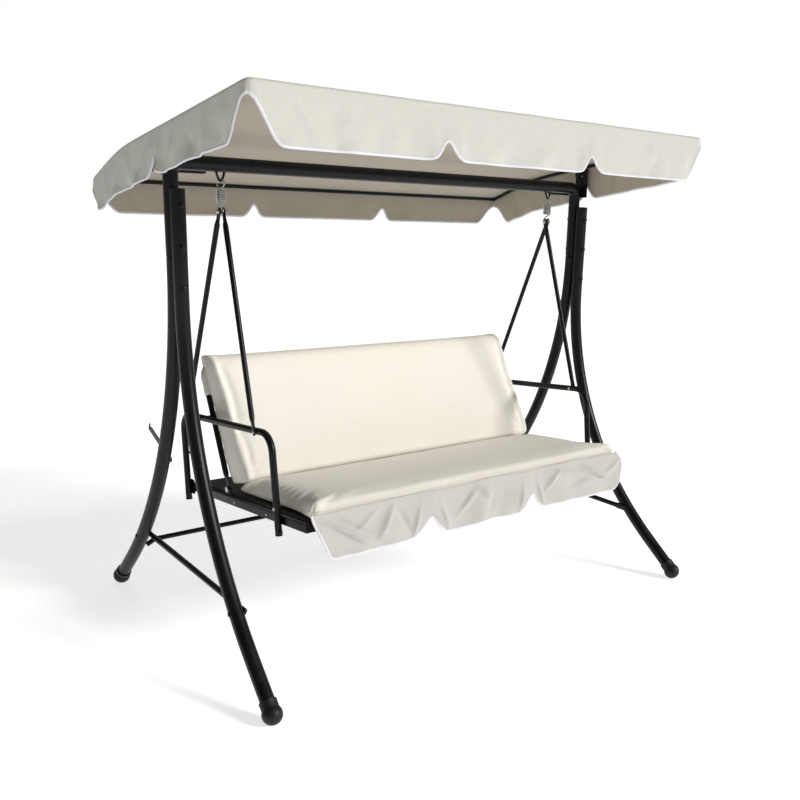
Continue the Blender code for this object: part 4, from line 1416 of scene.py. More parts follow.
    def sheet(self) -> tuple[Part, Array]:
        """Work out the whole cloth.

        The roof is a grid whose corners are rounded: a point's offset from the rounded
        square's core is scaled by its larger share over its length. Within edge_radius of
        the rim it rolls down a quarter circle. From each rim point the valance then runs
        down, outwards by folds().

        Returns:
            The cloth, and the hem's points in order round the canopy.
        """
        xs = self.stations(-self.half_x, self.half_x)
        ys = self.stations(*self.span_y)
        y_mid, half_y = sum(self.span_y) / 2, (self.span_y[1] - self.span_y[0]) / 2
        gx, gy = np.meshgrid(xs, ys - y_mid)
        half = np.array([self.half_x, half_y])
        spot = np.stack([gx, gy], axis=-1)
        core = np.clip(spot, -(half - self.corner_radius), half - self.corner_radius)
        offset = spot - core
        length = np.linalg.norm(offset, axis=-1)
        scale = np.where(length > 0, np.abs(offset).max(-1) / np.maximum(length, 1e-9), 1.0)
        place = core + offset * scale[..., None]
        rim_distance = np.minimum((half - np.abs(spot)).min(-1), self.edge_radius)
        roll = self.edge_radius - np.sqrt(
            np.maximum(0.0, self.edge_radius ** 2 - (self.edge_radius - rim_distance) ** 2))
        height = self.roof_height(place[..., 0], place[..., 1] + y_mid) - roll
        roof = np.concatenate([place, height[..., None]], axis=-1)
        roof[..., 1] += y_mid
        rows, columns = gx.shape
        faces = grid_faces(rows, columns)
        index = np.arange(rows * columns).reshape(rows, columns)
        rims = ((Edge.FRONT, index[0, :-1]), (Edge.RIGHT, index[:-1, -1]),
                (Edge.REAR, index[-1, :0:-1]), (Edge.LEFT, index[:0:-1, 0]))
        points = roof.reshape(-1, 3)
        outward = offset.reshape(-1, 2) / np.maximum(length.reshape(-1, 1), 1e-9)
        share = np.linspace(0.0, 1.0, self.hem_rows + 1)[1:]
        columns_down, flat_down = [], []
        for edge, rim in rims:
            start = points[rim]
            across = edge in (Edge.FRONT, Edge.REAR)
            along = spot.reshape(-1, 2)[rim][:, 0 if across else 1]
            depth = self.depth(edge, along, half[0 if across else 1])
            a, s = np.meshgrid(along, share, indexing="ij")
            d = np.broadcast_to(depth[:, None], a.shape)
            out = self.folds(edge, a, s, d)
            for crease in self.creases(edge):
                out = out + crease.lift(np.stack([a, s * d], axis=-1)) * s * (1.0 - 0.85 * s ** 4)
            calm = np.clip((half[0 if across else 1] - np.abs(a)) / 0.10, 0.0, 1.0)
            out = out * (0.25 + 0.75 * calm)
            way = outward[rim] if len(rim) else np.zeros((0, 2))
            side = start[:, None, :2] + way[:, None] * out[..., None]
            drop = start[:, None, 2] - d * s
            columns_down.append(np.concatenate([side, drop[..., None]], axis=-1))
            flat = start[:, None, :2] + np.array(edge.value) * (d * s)[..., None]
            flat_down.append(flat)
        valance = np.concatenate(columns_down)
        count, first = len(valance), len(points)
        rim_index = np.concatenate([rim for _, rim in rims])
        below = first + np.arange(count * self.hem_rows).reshape(count, self.hem_rows)
        ladder = np.concatenate([rim_index[:, None], below], axis=1)
        after = np.roll(ladder, -1, axis=0)
        quads = np.stack([ladder[:, :-1], ladder[:, 1:], after[:, 1:], after[:, :-1]], axis=-1)
        faces += [tuple(quad) for quad in quads.reshape(-1, 4).tolist()]
        uv = np.concatenate([points[:, :2], np.concatenate(flat_down).reshape(-1, 2)])
        cloth = Part(np.concatenate([points, valance.reshape(-1, 3)]), faces, uv)
        return cloth, valance[:, -1]

    def build(self) -> None:
        """Make the cloth and the white binding on its hem."""
        cloth, hem = self.sheet()
        cover = make_object("canopy_cover", cloth, [self.palette.canopy, self.palette.lining_and_shade],
                            Body.CANOPY, replaces=("canopy_fabric",), sharp=80)
        # The inner side takes the underside finish. Its dark colour is partly the coat's own tint and
        # partly painted shade.
        add_thickness(cover, self.thickness, lining_and_shade=1)
        closed = np.concatenate([hem, hem[:1]])
        binding = make_object("canopy_binding", binding_tube(closed, 0.0029, 0.0046, loop=True),
                              [self.palette.piping], Body.CANOPY)


def binding_tube(hem: Array, half_wide: float, half_tall: float, loop: bool = False) -> Part:
    """Return the folded tape that binds a hem, flat against the cloth.

    Its section is an ellipse, taller along the cloth than it is thick, and it sits astride
    the hem's edge.

    Args:
        hem: the edge's points.
        half_wide: half its thickness.
        half_tall: half its height.
        loop: whether the hem closes on itself.

    Returns:
        The closed tape.
    """
    path = hem.copy()
    tangents = np.gradient(path, axis=0)
    if loop:
        tangents[0] = tangents[-1] = path[1] - path[-2]
    tangents /= np.linalg.norm(tangents, axis=1, keepdims=True)
    down = np.array([0.0, 0.0, 1.0]) - tangents * tangents[:, 2:3]
    steep = np.linalg.norm(down, axis=1, keepdims=True)
    down /= np.maximum(steep, 1e-6)
    across = np.cross(tangents, down)
    turn = np.linspace(0.0, 2 * math.pi, 12, endpoint=False)
    rings = (path[:, None] + across[:, None] * (half_wide * np.cos(turn))[:, None]
             + down[:, None] * (half_tall * np.sin(turn))[:, None])
    sides = len(turn)
    if loop:
        rings = rings[:-1]
        faces = grid_faces(len(rings), sides, wrap=True)
        last = (len(rings) - 1) * sides
        faces += [(last + k, last + (k + 1) % sides, (k + 1) % sides, k) for k in range(sides)]
        return Part(rings.reshape(-1, 3), faces)
    points = np.concatenate([rings.reshape(-1, 3), path[:1], path[-1:]])
    faces = grid_faces(len(path), sides, wrap=True)
    low, high, last = len(points) - 2, len(points) - 1, (len(path) - 1) * sides
    faces += fan(low, 0, sides, inwards=True)
    faces += fan(high, last, sides)
    return Part(points, faces)


# ---- suspension --------------------------------------------------------------------------
@dataclass
class Suspension:
    """The springs under the beam, their eye bolts and the paired hanger bars."""

    palette: Palette
    hang_x: float = 0.794
    hang_y: float = 0.0252
    wire: float = 0.00225
    coil_radius: float = 0.01525
    ring_radius: float = 0.014
    ring_heights: tuple[float, float] = (1.6446, 1.5580)
    turns: int = 7
    pitch: float = 0.0056
    ring_yaw: float = math.radians(-33)
    eye_z: float = 1.5506
    bar_radius: float = 0.0095
    foot_x: float = 0.790 + 0.0125 + 0.0006 + 0.0095 * 0.27
    feet: tuple[tuple[str, float, float, float], ...] = (
        ("front", -0.197, 0.8174, -0.008), ("rear", 0.355, 0.770, 0.008))

    def spring(self, yaw: float) -> Part:
        """Return the right-hand spring: a hook ring, a close coil and a second ring.

        The rings are 310 degrees of a circle; the lower one lies in the YZ plane, the upper
        one is turned about Z. Between them the wire is the helix radius * (cos t, sin t)
        that falls by one pitch in each turn.

        Args:
            yaw: how far the upper ring is turned, in radians.

        Returns:
            The wire.
        """
        top, low = self.ring_heights
        ring, coil = self.ring_radius, self.coil_radius
        body = self.turns * self.pitch
        turn = np.radians(np.linspace(-40, 270, 40))
        upper = np.stack([np.zeros(40), ring * np.cos(turn), top + ring * np.sin(turn)], axis=-1)
        angle = np.linspace(yaw, 2 * math.pi * self.turns, self.turns * 28 + 1)
        helix = np.stack([coil * np.cos(angle), coil * np.sin(angle),
                          (top + low) / 2 + body / 2 - self.pitch * angle / (2 * math.pi)], axis=-1)
        turn = np.radians(np.linspace(90, 400, 40))
        lower = np.stack([np.zeros(40), -ring * np.cos(turn), low + ring * np.sin(turn)], axis=-1)
        first = np.array([[coil * 0.12, -0.003, top - ring - 0.0011],
                          [coil * 0.55, -0.004, top - ring - 0.0036]])
        last = np.array([[coil * 0.55, 0.004, low + ring + 0.0036],
                         [coil * 0.12, 0.003, low + ring + 0.0011]])
        about = np.array([[math.cos(yaw), math.sin(yaw), 0.0], [-math.sin(yaw), math.cos(yaw), 0.0],
                          [0.0, 0.0, 1.0]])
        path = np.concatenate([upper @ about, first @ about, helix, last, lower])
        return tube(path + np.array([self.hang_x, self.hang_y, 0.0]), self.wire, sides=12)

    def stretch(self, piece: bpy.types.Object, x: float) -> None:
        """Take a spring off its body and bake its place into its points.

        Args:
            piece: the spring.
            x: the spring's place across; not used.
        """
        let_go(piece)
        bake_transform(piece)

    def hanger(self, y: float, z: float, offset: float) -> Part:
        """Return a right-hand hanger bar.

        Args:
            y: where its foot is bolted, back.
            z: where its foot is bolted, up.
            offset: its eye's place on the eye bolt.

        Returns:
            The bar.
        """
        top = np.array([self.hang_x + offset, self.hang_y, self.eye_z])
        return flattened_bar(top, np.array([self.foot_x, y, z]), self.bar_radius)

    def eye_bolt(self) -> Part:
        """Return the right-hand bolt through both hanger eyes and the spring's ring."""
        start = self.hang_x - 0.0117
        shank = tube(np.array([[start, self.hang_y, self.eye_z],
                               [start + 0.0270, self.hang_y, self.eye_z]]), 0.0040, sides=20)
        head = hex_bolt((start + 0.0006, self.hang_y, self.eye_z), (-1, 0, 0), size=0.0076)
        nut = hex_bolt((start + 0.0234, self.hang_y, self.eye_z), (1, 0, 0), size=0.0076)
        return joined([shank, head, nut])

    def foot_bolts(self) -> Part:
        """Return the right-hand bright bolts that hold the hangers' feet to the arm."""
        parts = []
        for _, y, z, _ in self.feet:
            parts.append(dome_bolt((self.foot_x + self.bar_radius * 0.27 - 0.0002, y, z),
                                   (1, 0, 0), radius=0.0060))
            parts.append(hex_bolt((0.790 - 0.0125 + 0.0007, y, z), (-1, 0, 0), size=0.0062))
        return joined(parts)

    def build(self) -> None:
        """Make both sides' springs, bolts and hangers."""
        steel, zinc = [self.palette.steel], [self.palette.zinc]
        for label, side in SIDES:
            yaw = -side * self.ring_yaw
            rows = [(f"spring_{label}", self.spring(yaw), zinc, Body.SWING, Slot.ZINC),
                    (f"hanger_eye_bolt_{label}", self.eye_bolt(), zinc, Body.SEAT, Slot.ZINC)]
            rows += [(f"{word}_hanger_{label}", self.hanger(y, z, offset), steel, Body.SEAT,
                      Slot.STEEL) for word, y, z, offset in self.feet]
            for node, part, materials, body, slot in rows:
                piece = make_object(f"{node}_finish", part.on_side(side),
                                    materials, body, replaces=(node,), sharp=50)
                if body is Body.SWING:
                    self.stretch(piece, side * self.hang_x)
            bolts = self.foot_bolts()
            make_object(f"hanger_foot_bolts_{label}", bolts.on_side(side),
                        zinc, Body.SEAT)


# ---- seat frame --------------------------------------------------------------------------
@dataclass
class SeatFrame:
    """The arm loops, the box rails under the seat, the sling on them and their fastenings."""

    palette: Palette
    slope: float = 0.0918
    height: float = 0.497
    arm_x: float = 0.790
    arm_radius: float = 0.0125
    arm_corners: tuple[tuple[float, float], ...] = (
        (-0.333, 0.478), (-0.289, 0.8255), (0.4335, 0.7625), (0.409, 0.413))
    arm_bend: float = 0.066
    rail: tuple[float, float] = (0.024, 0.032)
    side_rail_x: float = 0.7645
    side_span: tuple[float, float] = (-0.492, 0.397)
    cross_x: float = 0.7521
    cross_y: tuple[float, float] = (-0.478, 0.383)
    sling_x: float = 0.7600
    sling_rise: float = 0.0187
    sling_sag: float = 0.0042
    sling_rim: tuple[float, float] = (0.008, 0.0012)                  # width, drop
    crossbar: tuple[float, float, float] = (0.2454, 0.7755, 0.0095)   # Y, Z, radius
    bar_tip: tuple[float, float] = (0.0042, 0.0118)                   # half thickness, height
    bar_press: tuple[float, float] = (0.0046, 0.0116)
    gusset_place: tuple[float, float] = (0.4135, 0.463)               # Y, Z
    gusset_half: tuple[float, float] = (0.024, 0.030)

    def level(self, y: float) -> float:
        """Return the rails' axis height at a distance back."""
        return self.height - self.slope * y

    def arm(self) -> Part:
        """Return the right-hand arm loop with the plugs in its lower ends."""
        path = rounded_path([(self.arm_x, y, z) for y, z in self.arm_corners], self.arm_bend,
                            steps=18)
        loop = tube(path, self.arm_radius, sides=32)
        plugs = []
        for end, before in ((path[0], path[1]), (path[-1], path[-2])):
            r = self.arm_radius
            profile = [(0.0, -0.001), (r * 1.06, -0.001), (r * 1.10, 0.0012), (r * 0.98, 0.0032),
                       (r * 0.6, 0.0042), (0.0, 0.0046)]
            plugs.append(turned(profile, end, end - before, sides=32))
        return joined([loop, *plugs])

    def side_rail(self) -> Part:
        """Return the right-hand side rail, a rounded box tube with capped ends."""
        low, high = self.side_span
        y = np.array([low, low + 0.0012, low + 0.003, high - 0.003, high - 0.0012, high])
        path = np.stack([np.full(6, self.side_rail_x), y, self.height - self.slope * y], axis=-1)
        half = np.array(self.rail) / 2 - np.array([0.0018, 0.0005, 0.0, 0.0, 0.0005, 0.0018])[:, None]
        return tube(path, half, sides=44, squareness=9.0)

    def cross_rail(self, y: float) -> Part:
        """Return a box rail across.

        Args:
            y: its distance back.

        Returns:
            The rail.
        """
        x = np.array([-self.cross_x, self.cross_x])
        path = np.stack([x, np.full(2, y), np.full(2, self.level(y))], axis=-1)
        return tube(path, np.tile(np.array(self.rail) / 2, (2, 1)), sides=44, squareness=9.0)

    def sling(self) -> Part:
        """Return the sheet stretched over the rails.

        It lies sling_rise above the rails' axes, sags by a parabola from front to rear that
        fades towards the sides, and its rim turns down a little.

        Returns:
            The sheet.
        """
        low = self.cross_y[0] - self.rail[0] / 2
        high = self.cross_y[1] + self.rail[0] / 2
        x = np.linspace(-self.sling_x, self.sling_x, 101)
        s = np.linspace(0.0, 1.0, 71)
        gx, gs = np.meshgrid(x, s)
        y = low + (high - low) * gs
        sag = self.sling_sag * (1 - (gx / self.sling_x) ** 4) * 4 * gs * (1 - gs)
        edge = np.minimum(np.minimum(y - low, high - y), self.sling_x - np.abs(gx))
        width, drop = self.sling_rim
        roll = drop * np.clip(1 - edge / width, 0.0, 1.0) ** 2
        z = self.height - self.slope * y + self.sling_rise - sag - roll
        points = np.stack([gx, y, z], axis=-1).reshape(-1, 3)
        uv = np.stack([gx, y], axis=-1).reshape(-1, 2)
        return Part(points, grid_faces(71, 101), uv)

    def bar(self) -> Part:
        """Return the crossbar behind the backrest, pressed at its bolted ends."""
        y, z, radius = self.crossbar
        reach = self.arm_x - self.arm_radius - 0.0008
        x = np.array([-reach, -reach + 0.012, -reach + 0.030, 0.0, reach - 0.030, reach - 0.012,
                      reach])
        middle = [(radius, radius)] * 3
        half = np.array([self.bar_tip, self.bar_press, *middle, self.bar_press, self.bar_tip])
        path = np.stack([x, np.full(7, y), np.full(7, z)], axis=-1)
        return tube(path, half, sides=26)

    def gusset(self) -> Part:
        """Return the right-hand plate that ties the rear arm post to the side rail.

        Its outline is a rounded quadrilateral in the YZ plane, two millimetres thick.

        Returns:
            The plate.
        """
        y, z = self.gusset_place
        path = np.array([[self.arm_x - 0.0145, y - 0.012, z],
                         [self.arm_x - 0.0125, y - 0.012, z]])
        return tube(path, np.array([self.gusset_half] * 2), sides=32, squareness=4.0)

    def bright_bolts(self) -> Part:
        """Return the right-hand bright fastenings of the arms and rails."""
        outer = self.arm_x + self.arm_radius - 0.0006
        rail_side = self.side_rail_x + self.rail[0] / 2 - 0.0002
        parts = [dome_bolt((outer, -0.3205, 0.570), (1, 0, 0), radius=0.0066)]
        parts += [dome_bolt((rail_side, y, self.level(y)), (1, 0, 0), radius=0.0048)
                  for y in (0.0315, -0.2195)]
        ring = [(0.0, 0.0), (0.0105, 0.0), (0.0118, 0.0012), (0.0105, 0.0024), (0.0, 0.0024)]
        parts.append(turned(ring, np.array([0.7633 + 0.0040, 0.108, 0.523]),
                            np.array([1.0, 0, 0]), sides=32))
        return joined(parts)

    def dark_bolts(self) -> Part:
        """Return the right-hand black fastenings of the arm loop."""
        inner = self.arm_x - self.arm_radius + 0.0006
        parts = [hex_bolt((self.arm_x, -0.3315 - self.arm_radius, 0.4905), (0, -1, 0), size=0.0075),
                 hex_bolt((self.arm_x, 0.4107 + self.arm_radius, 0.4305), (0, 1, 0), size=0.0075),
                 dome_bolt((self.arm_x + self.arm_radius - 0.0006, 0.2454, 0.7790), (1, 0, 0),
                           radius=0.0062),
                 hex_bolt((inner, 0.4235, 0.600), (-1, 0, 0), size=0.0065)]
        return joined(parts)

    def build(self) -> None:
        """Make the seat frame and dress the hinge brackets."""
        steel = [self.palette.steel]
        for label, side in SIDES:
            rows = [(f"armrest_{label}_finish", self.arm(), steel, (f"armrest_{label}",)),
                    (f"seat_side_rail_{label}_finish", self.side_rail(), steel,
                     (f"seat_side_rail_{label}",)),
                    (f"arm_gusset_{label}", self.gusset(), steel, ()),
                    (f"arm_nuts_{label}", self.dark_bolts(), steel, ())]
            for name, part, materials, nodes in rows:
                make_object(name, part.on_side(side), materials, Body.SEAT,
                            replaces=nodes)
            bolts = self.bright_bolts()
            make_object(f"arm_bolts_{label}", bolts.on_side(side),
                        [self.palette.zinc], Body.SEAT)
            dress_node(f"backrest_bracket_{label}", self.palette.steel)
        for word, y in zip(("front", "rear"), self.cross_y):
            make_object(f"seat_{word}_rail_finish", self.cross_rail(y), steel, Body.SEAT,
                        replaces=(f"seat_{word}_rail",))
        make_object("backrest_crossbar_finish", self.bar(), steel, Body.SEAT,
                    replaces=("backrest_crossbar",))
        sheet = self.sling()
        sling = make_object("sling_sheet", sheet, [self.palette.sling], Body.SEAT,
                            replaces=("seat_sling",), sharp=80)
        add_thickness(sling, 0.0018)


# ---- sewn pads ---------------------------------------------------------------------------
@dataclass(frozen=True)
class Pillow:
    """A sewn pad in its own frame: u across, v along, w out of it.

    Attributes:
        half_u: half its width.
        span_v: where it starts and ends.
        up: height of its upper panel above the seam.
        down: depth of its lower panel below the seam.
        roll_u: how far in from each side the panels reach full height.
        roll_v: the same from its start and its end.
        corner: radius of its corners in plan.
        flare: how much wider each side is at its start.
        pitch: spacing of its points.
    """

    half_u: float
    span_v: tuple[float, float]
    up: float
    down: float
    roll_u: float
    roll_v: tuple[float, float]
    corner: float
    flare: float = 0.0
    pitch: float = 0.012

    def stations(self, low: float, high: float, rolls: tuple[float, float]) -> Array:
        """Return stations that are close together in the rolls at both ends.

        Args:
            low: the first place.
            high: the last place.
            rolls: length of each end's roll.

        Returns:
            The stations.
        """
        turn = np.linspace(0.0, math.pi / 2, 7)
        first = low + rolls[0] * (1 - np.cos(turn))
        last = high - rolls[1] * (1 - np.cos(turn))
        count = max(2, round((last[-1] - first[-1]) / self.pitch))
        flat = np.linspace(first[-1], last[-1], count + 1)
        return np.concatenate([first[:-1], flat, last[::-1][1:]])

    def swell(self, distance: Array, roll: float) -> Array:
        """Return a panel's share of its height at a distance in from an edge.

        It is a quarter circle, sqrt(1 - (1 - distance / roll)^2), and 1 past the roll.

        Args:
            distance: how far in.
            roll: where it reaches full height.

        Returns:
            The share from 0 to 1.
        """
        left = np.clip(1.0 - distance / roll, 0.0, 1.0)
        return np.sqrt(1.0 - left ** 2)

    def surface(self) -> tuple[Part, Array, Array]:
        """Work out the closed pad.

        Both panels share one grid whose corners are rounded in plan, and they meet in its
        rim, which is the seam. A panel's height is its full height times the swell from
        each of the four edges.

        Returns:
            The pad, the seam's point numbers in order, and which points are on the lower
            panel.
        """
        us = self.stations(-self.half_u, self.half_u, (self.roll_u, self.roll_u))
        vs = self.stations(*self.span_v, self.roll_v)
        gu, gv = np.meshgrid(us, vs)
        low, high = self.span_v
        share = (self.swell(self.half_u - np.abs(gu), self.roll_u)
                 * self.swell(gv - low, self.roll_v[0]) * self.swell(high - gv, self.roll_v[1]))
        middle = (low + high) / 2
        spot = np.stack([gu, gv - middle], axis=-1)
        half = np.array([self.half_u, (high - low) / 2])
        core = np.clip(spot, -(half - self.corner), half - self.corner)
        offset = spot - core
        length = np.linalg.norm(offset, axis=-1)
        scale = np.where(length > 0, np.abs(offset).max(-1) / np.maximum(length, 1e-9), 1.0)
        place = core + offset * scale[..., None]
        along = np.clip((place[..., 1] + middle - low) / 0.16, 0.0, 1.0)
        place[..., 0] *= 1 + self.flare / self.half_u * (1 - along * along * (3 - 2 * along))
        upper = np.stack([place[..., 0], place[..., 1] + middle, self.up * share], axis=-1)
        lower = upper * np.array([1.0, 1.0, -self.down / self.up])
        rows, columns = gu.shape
        index = np.arange(rows * columns).reshape(rows, columns)
        under = index.copy()
        inner = np.arange((rows - 2) * (columns - 2)) + rows * columns
        under[1:-1, 1:-1] = inner.reshape(rows - 2, columns - 2)
        flat = np.stack([gu, gv], axis=-1)
        points = np.concatenate([upper.reshape(-1, 3), lower[1:-1, 1:-1].reshape(-1, 3)])
        uv = np.concatenate([flat.reshape(-1, 2), flat[1:-1, 1:-1].reshape(-1, 2)])
        quads = np.stack([under[:-1, :-1], under[1:, :-1], under[1:, 1:], under[:-1, 1:]], axis=-1)
        faces = grid_faces(rows, columns) + [tuple(q) for q in quads.reshape(-1, 4).tolist()]
        rim = np.concatenate([index[0, :-1], index[:-1, -1], index[-1, :0:-1], index[:0:-1, 0]])
        return Part(points, faces, uv), rim, np.arange(len(points)) >= rows * columns


def read_points(piece: bpy.types.Object) -> Array:
    """Return a mesh's vertex positions, shape (n, 3)."""
    flat = np.empty(len(piece.data.vertices) * 3, np.float32)
    piece.data.vertices.foreach_get("co", flat)
    return flat.reshape(-1, 3).astype(float)


def write_points(piece: bpy.types.Object, points: Array) -> None:
    """Set a mesh's vertex positions.

    Args:
        piece: the mesh object.
        points: positions, shape (n, 3).
    """
    piece.data.vertices.foreach_set("co", points.astype(np.float32).ravel())
    piece.data.update()


def inflate(piece: bpy.types.Object, held: Array, pressure: float, cap: float) -> None:
    """Fill a sewn cover with air pressure by a short cloth simulation and keep the result.

    Args:
        piece: the closed cover.
        held: which points stay where they are.
        pressure: the pressure inside.
        cap: the most that a point may move.
    """
    scene = bpy.context.scene
    start = read_points(piece)
    group = piece.vertex_groups.new(name="held")
    group.add(np.flatnonzero(held).tolist(), 1.0, "REPLACE")
    cloth = piece.modifiers.new("filling", "CLOTH")
    settings = cloth.settings
    settings.quality = 6
    settings.mass = 0.25
    settings.tension_stiffness = 12.0
    settings.compression_stiffness = 12.0
    settings.shear_stiffness = 5.0
    settings.bending_stiffness = 0.4
    settings.use_pressure = True
    settings.uniform_pressure_force = pressure
    settings.vertex_group_mass = group.name
    settings.effector_weights.gravity = 0.0
    for step in range(1, 21):
        scene.frame_set(step)
    shape = piece.evaluated_get(bpy.context.evaluated_depsgraph_get()).to_mesh()
    flat = np.empty(len(shape.vertices) * 3, np.float32)
    shape.vertices.foreach_get("co", flat)
    piece.evaluated_get(bpy.context.evaluated_depsgraph_get()).to_mesh_clear()
    piece.modifiers.remove(cloth)
    piece.vertex_groups.remove(group)
    scene.frame_set(1)
    move = flat.reshape(-1, 3) - start
    length = np.linalg.norm(move, axis=1, keepdims=True)
    move *= cap * np.tanh(length / cap) / np.maximum(length, 1e-9)
    write_points(piece, start + move)
    LOG.info("%s: filled, moved at most %.1f mm", piece.name, 1000 * float(length.max()))


def soften(piece: bpy.types.Object) -> None:
    """Round a pad's facets with one level of subdivision."""
    smooth = piece.modifiers.new("rounding", "SUBSURF")
    smooth.levels = 1
    smooth.render_levels = 1


@dataclass
class SeatPad:
    """The seat cushion and the scalloped skirt sewn along its front seam."""

    palette: Palette
    seat: SeatFrame
    shape: Pillow = Pillow(half_u=0.741, span_v=(-0.519, 0.086), up=0.030, down=0.029,
                           roll_u=0.050, roll_v=(0.023, 0.036), corner=0.035, flare=0.030)
    seam_rise: float = 0.0525
    side_drop: float = 0.017
    rear_press: float = 0.014
    skirt_half: float = 0.778
    skirt_y: float = -0.5300
    skirt_top: float = 0.6000
    skirt_depth: float = 0.168
    notches: tuple[tuple[float, float, float], ...] = ((-0.280, 0.068, 0.043),
                                                       (0.236, 0.066, 0.036))

    def matrix(self) -> Matrix:
        """Return the pad's frame: v runs back down the seat's slope from Y = 0."""
        tilt = Matrix.Rotation(-math.atan(self.seat.slope), 4, "X")
        return (Matrix.Translation((0, 0, self.seat.height)) @ tilt
                @ Matrix.Translation((0, 0, self.seam_rise)))

    def details(self, points: Array, rest: Array, lower: Array) -> Array:
        """Add the sewn cover's gathers to the filled pad, in the pad's own frame.

        Along each side, ridges that run in from the seam rise and fall as
        sin(v / spacing + drift), strongest some way in and gone after a hand's width. A
        faint drift of the whole top gives the soft hollows of a used pad. Under the back
        cushion's foot the top is pressed down by rear_press.

        Args:
            points: the filled pad's points.
            rest: the points before filling.
            lower: which points are on the lower panel.

        Returns:
            The changed points.
        """
        inward = np.maximum(0.0, self.shape.half_u - np.abs(rest[:, 0]))
        flat = rest[:, :2]
        drift = smooth_noise(flat * np.array([0.3, 1.0]), 0.16, SEED + 1)
        gather = np.sin(2 * math.pi * rest[:, 1] / 0.036 + 2.4 * drift)
        gather += 0.6 * np.sin(2 * math.pi * rest[:, 1] / 0.021 + 3.1 * drift + 1.0)
        reach = np.exp(-(inward / 0.072) ** 1.4) * np.clip(inward / 0.014, 0.15, 1.0)
        back = np.clip((0.086 - rest[:, 1]) / 0.05, 0.0, 1.0)
        front = np.clip((rest[:, 1] + 0.50) / 0.07, 0.0, 1.0)
        ridges = 0.0038 * gather * reach * back * (0.25 + 0.75 * front)
        front_roll = np.exp(-((rest[:, 1] - self.shape.span_v[0]) / 0.05) ** 2)
        wave = 0.0012 * smooth_noise(flat * np.array([1.0, 2.0]), 0.11, SEED + 2) * front_roll
        hollow = 0.0016 * smooth_noise(flat, 0.42, SEED + 3)
        change = points.copy()
        change[:, 2] += np.where(lower, 0.0, ridges + wave + hollow * (rest[:, 2] > 0.002))
        side = np.clip(np.abs(rest[:, 0]) / self.shape.half_u, 0.0, 1.0)
        above = np.where(lower, 1.0 + rest[:, 2] / self.shape.down, 1.0)
        change[:, 2] -= self.side_drop * side ** 14 * front * above
        pressed = np.clip((rest[:, 1] + 0.075) / 0.085, 0.0, 1.0)
        change[:, 2] -= np.where(lower, 0.0, self.rear_press * pressed ** 2 * (3 - 2 * pressed)
                                 * np.clip(rest[:, 2] / self.shape.up, 0.0, 1.0))
        return change

    def skirt(self) -> tuple[Part, Array]:
        """Work out the skirt: it hangs from the front seam in three scallops.

        Depth is the full drop less a bell-shaped notch, height * exp(-|x / width|^1.7), at
        each third, with rounded lower corners. Folds grow with the way down, the ends run
        inwards a little, and the right one is cut back at the top.

        Returns:
            The skirt, and its free edge's points from the left end of the seam down, along
            the hem and up to the right end.
        """
        columns, rows = 321, 25
        along = np.linspace(-1.0, 1.0, columns)
        x = self.skirt_half * along
        depth = np.full(columns, self.skirt_depth)
        for place, height, width in self.notches:
            depth -= height * np.exp(-(np.abs(x - place) / width) ** 1.7)
        edge = self.skirt_half - np.abs(x)
        depth -= 0.034 * np.exp(-(edge / 0.024) ** 1.5)
        share = np.linspace(0.0, 1.0, rows)
        gx, gs = np.meshgrid(x, share)
        down = gs * depth
        flat = np.stack([gx, down], axis=-1)
        out = 0.006 * gs + 0.0090 * np.sin(math.pi * gs) * smooth_noise(flat, 0.26, SEED + 5)
        out += 0.0050 * gs * smooth_noise(flat * np.array([1.0, 0.5]), 0.13, SEED + 6)
        for crease in self.creases():
            out += crease.lift(flat) * np.clip(gs * 5.0, 0.0, 1.0)
        out = np.maximum(out, -0.010 * gs)
        inward = np.where(gx < 0, 0.058, 0.012) * (np.abs(gx) / self.skirt_half) ** 9
        place_x = gx - np.sign(gx) * inward * gs ** 1.2
        cut = np.clip(1.0 - gs / 0.45, 0.0, 1.0) ** 2
        place_x -= 0.042 * cut * np.clip(along, 0.0, 1.0) ** 12
        sway = 0.0035 * smooth_noise(np.stack([gx, down * 0], axis=-1), 0.5, SEED + 7)
        points = np.stack([place_x, self.skirt_y - out, self.skirt_top + sway - down], axis=-1)
        index = np.arange(rows * columns).reshape(rows, columns)
        free = np.concatenate([index[:, 0], index[-1, 1:-1], index[::-1, -1]])
        part = Part(points.reshape(-1, 3), [face[::-1] for face in grid_faces(rows, columns)],
                    flat.reshape(-1, 2))
        return part, part.points[free]

    def creases(self) -> tuple[Crease, ...]:
        """Return the skirt's sharper folds by (across, down) from the seam."""
        return (Crease((-0.640, 0.085), 33, 0.115, 0.010, 0.0210),
                Crease((-0.655, 0.055), 28, 0.100, 0.010, -0.0147),
                Crease((-0.560, 0.060), 146, 0.060, 0.010, 0.0105),
                Crease((-0.475, 0.075), 120, 0.070, 0.011, 0.0105),
                Crease((-0.400, 0.090), 60, 0.060, 0.010, -0.0105),
                Crease((-0.345, 0.110), 105, 0.050, 0.008, 0.0105),
                Crease((-0.215, 0.105), 70, 0.055, 0.009, 0.0105),
                Crease((-0.100, 0.070), 135, 0.060, 0.011, 0.0126),
                Crease((-0.020, 0.050), 40, 0.050, 0.009, 0.0147),
                Crease((0.030, 0.085), 118, 0.050, 0.011, -0.0105),
                Crease((0.175, 0.110), 100, 0.050, 0.008, 0.0105),
                Crease((0.285, 0.105), 72, 0.050, 0.009, 0.0105),
                Crease((0.350, 0.060), 130, 0.055, 0.010, 0.0126),
                Crease((0.430, 0.045), 12, 0.080, 0.009, 0.0147),
                Crease((0.520, 0.090), 164, 0.070, 0.010, -0.0126),
                Crease((0.610, 0.070), 24, 0.085, 0.009, 0.0168),
                Crease((0.660, 0.105), 15, 0.070, 0.008, -0.0126),
                Crease((0.715, 0.060), 150, 0.050, 0.010, 0.0126))

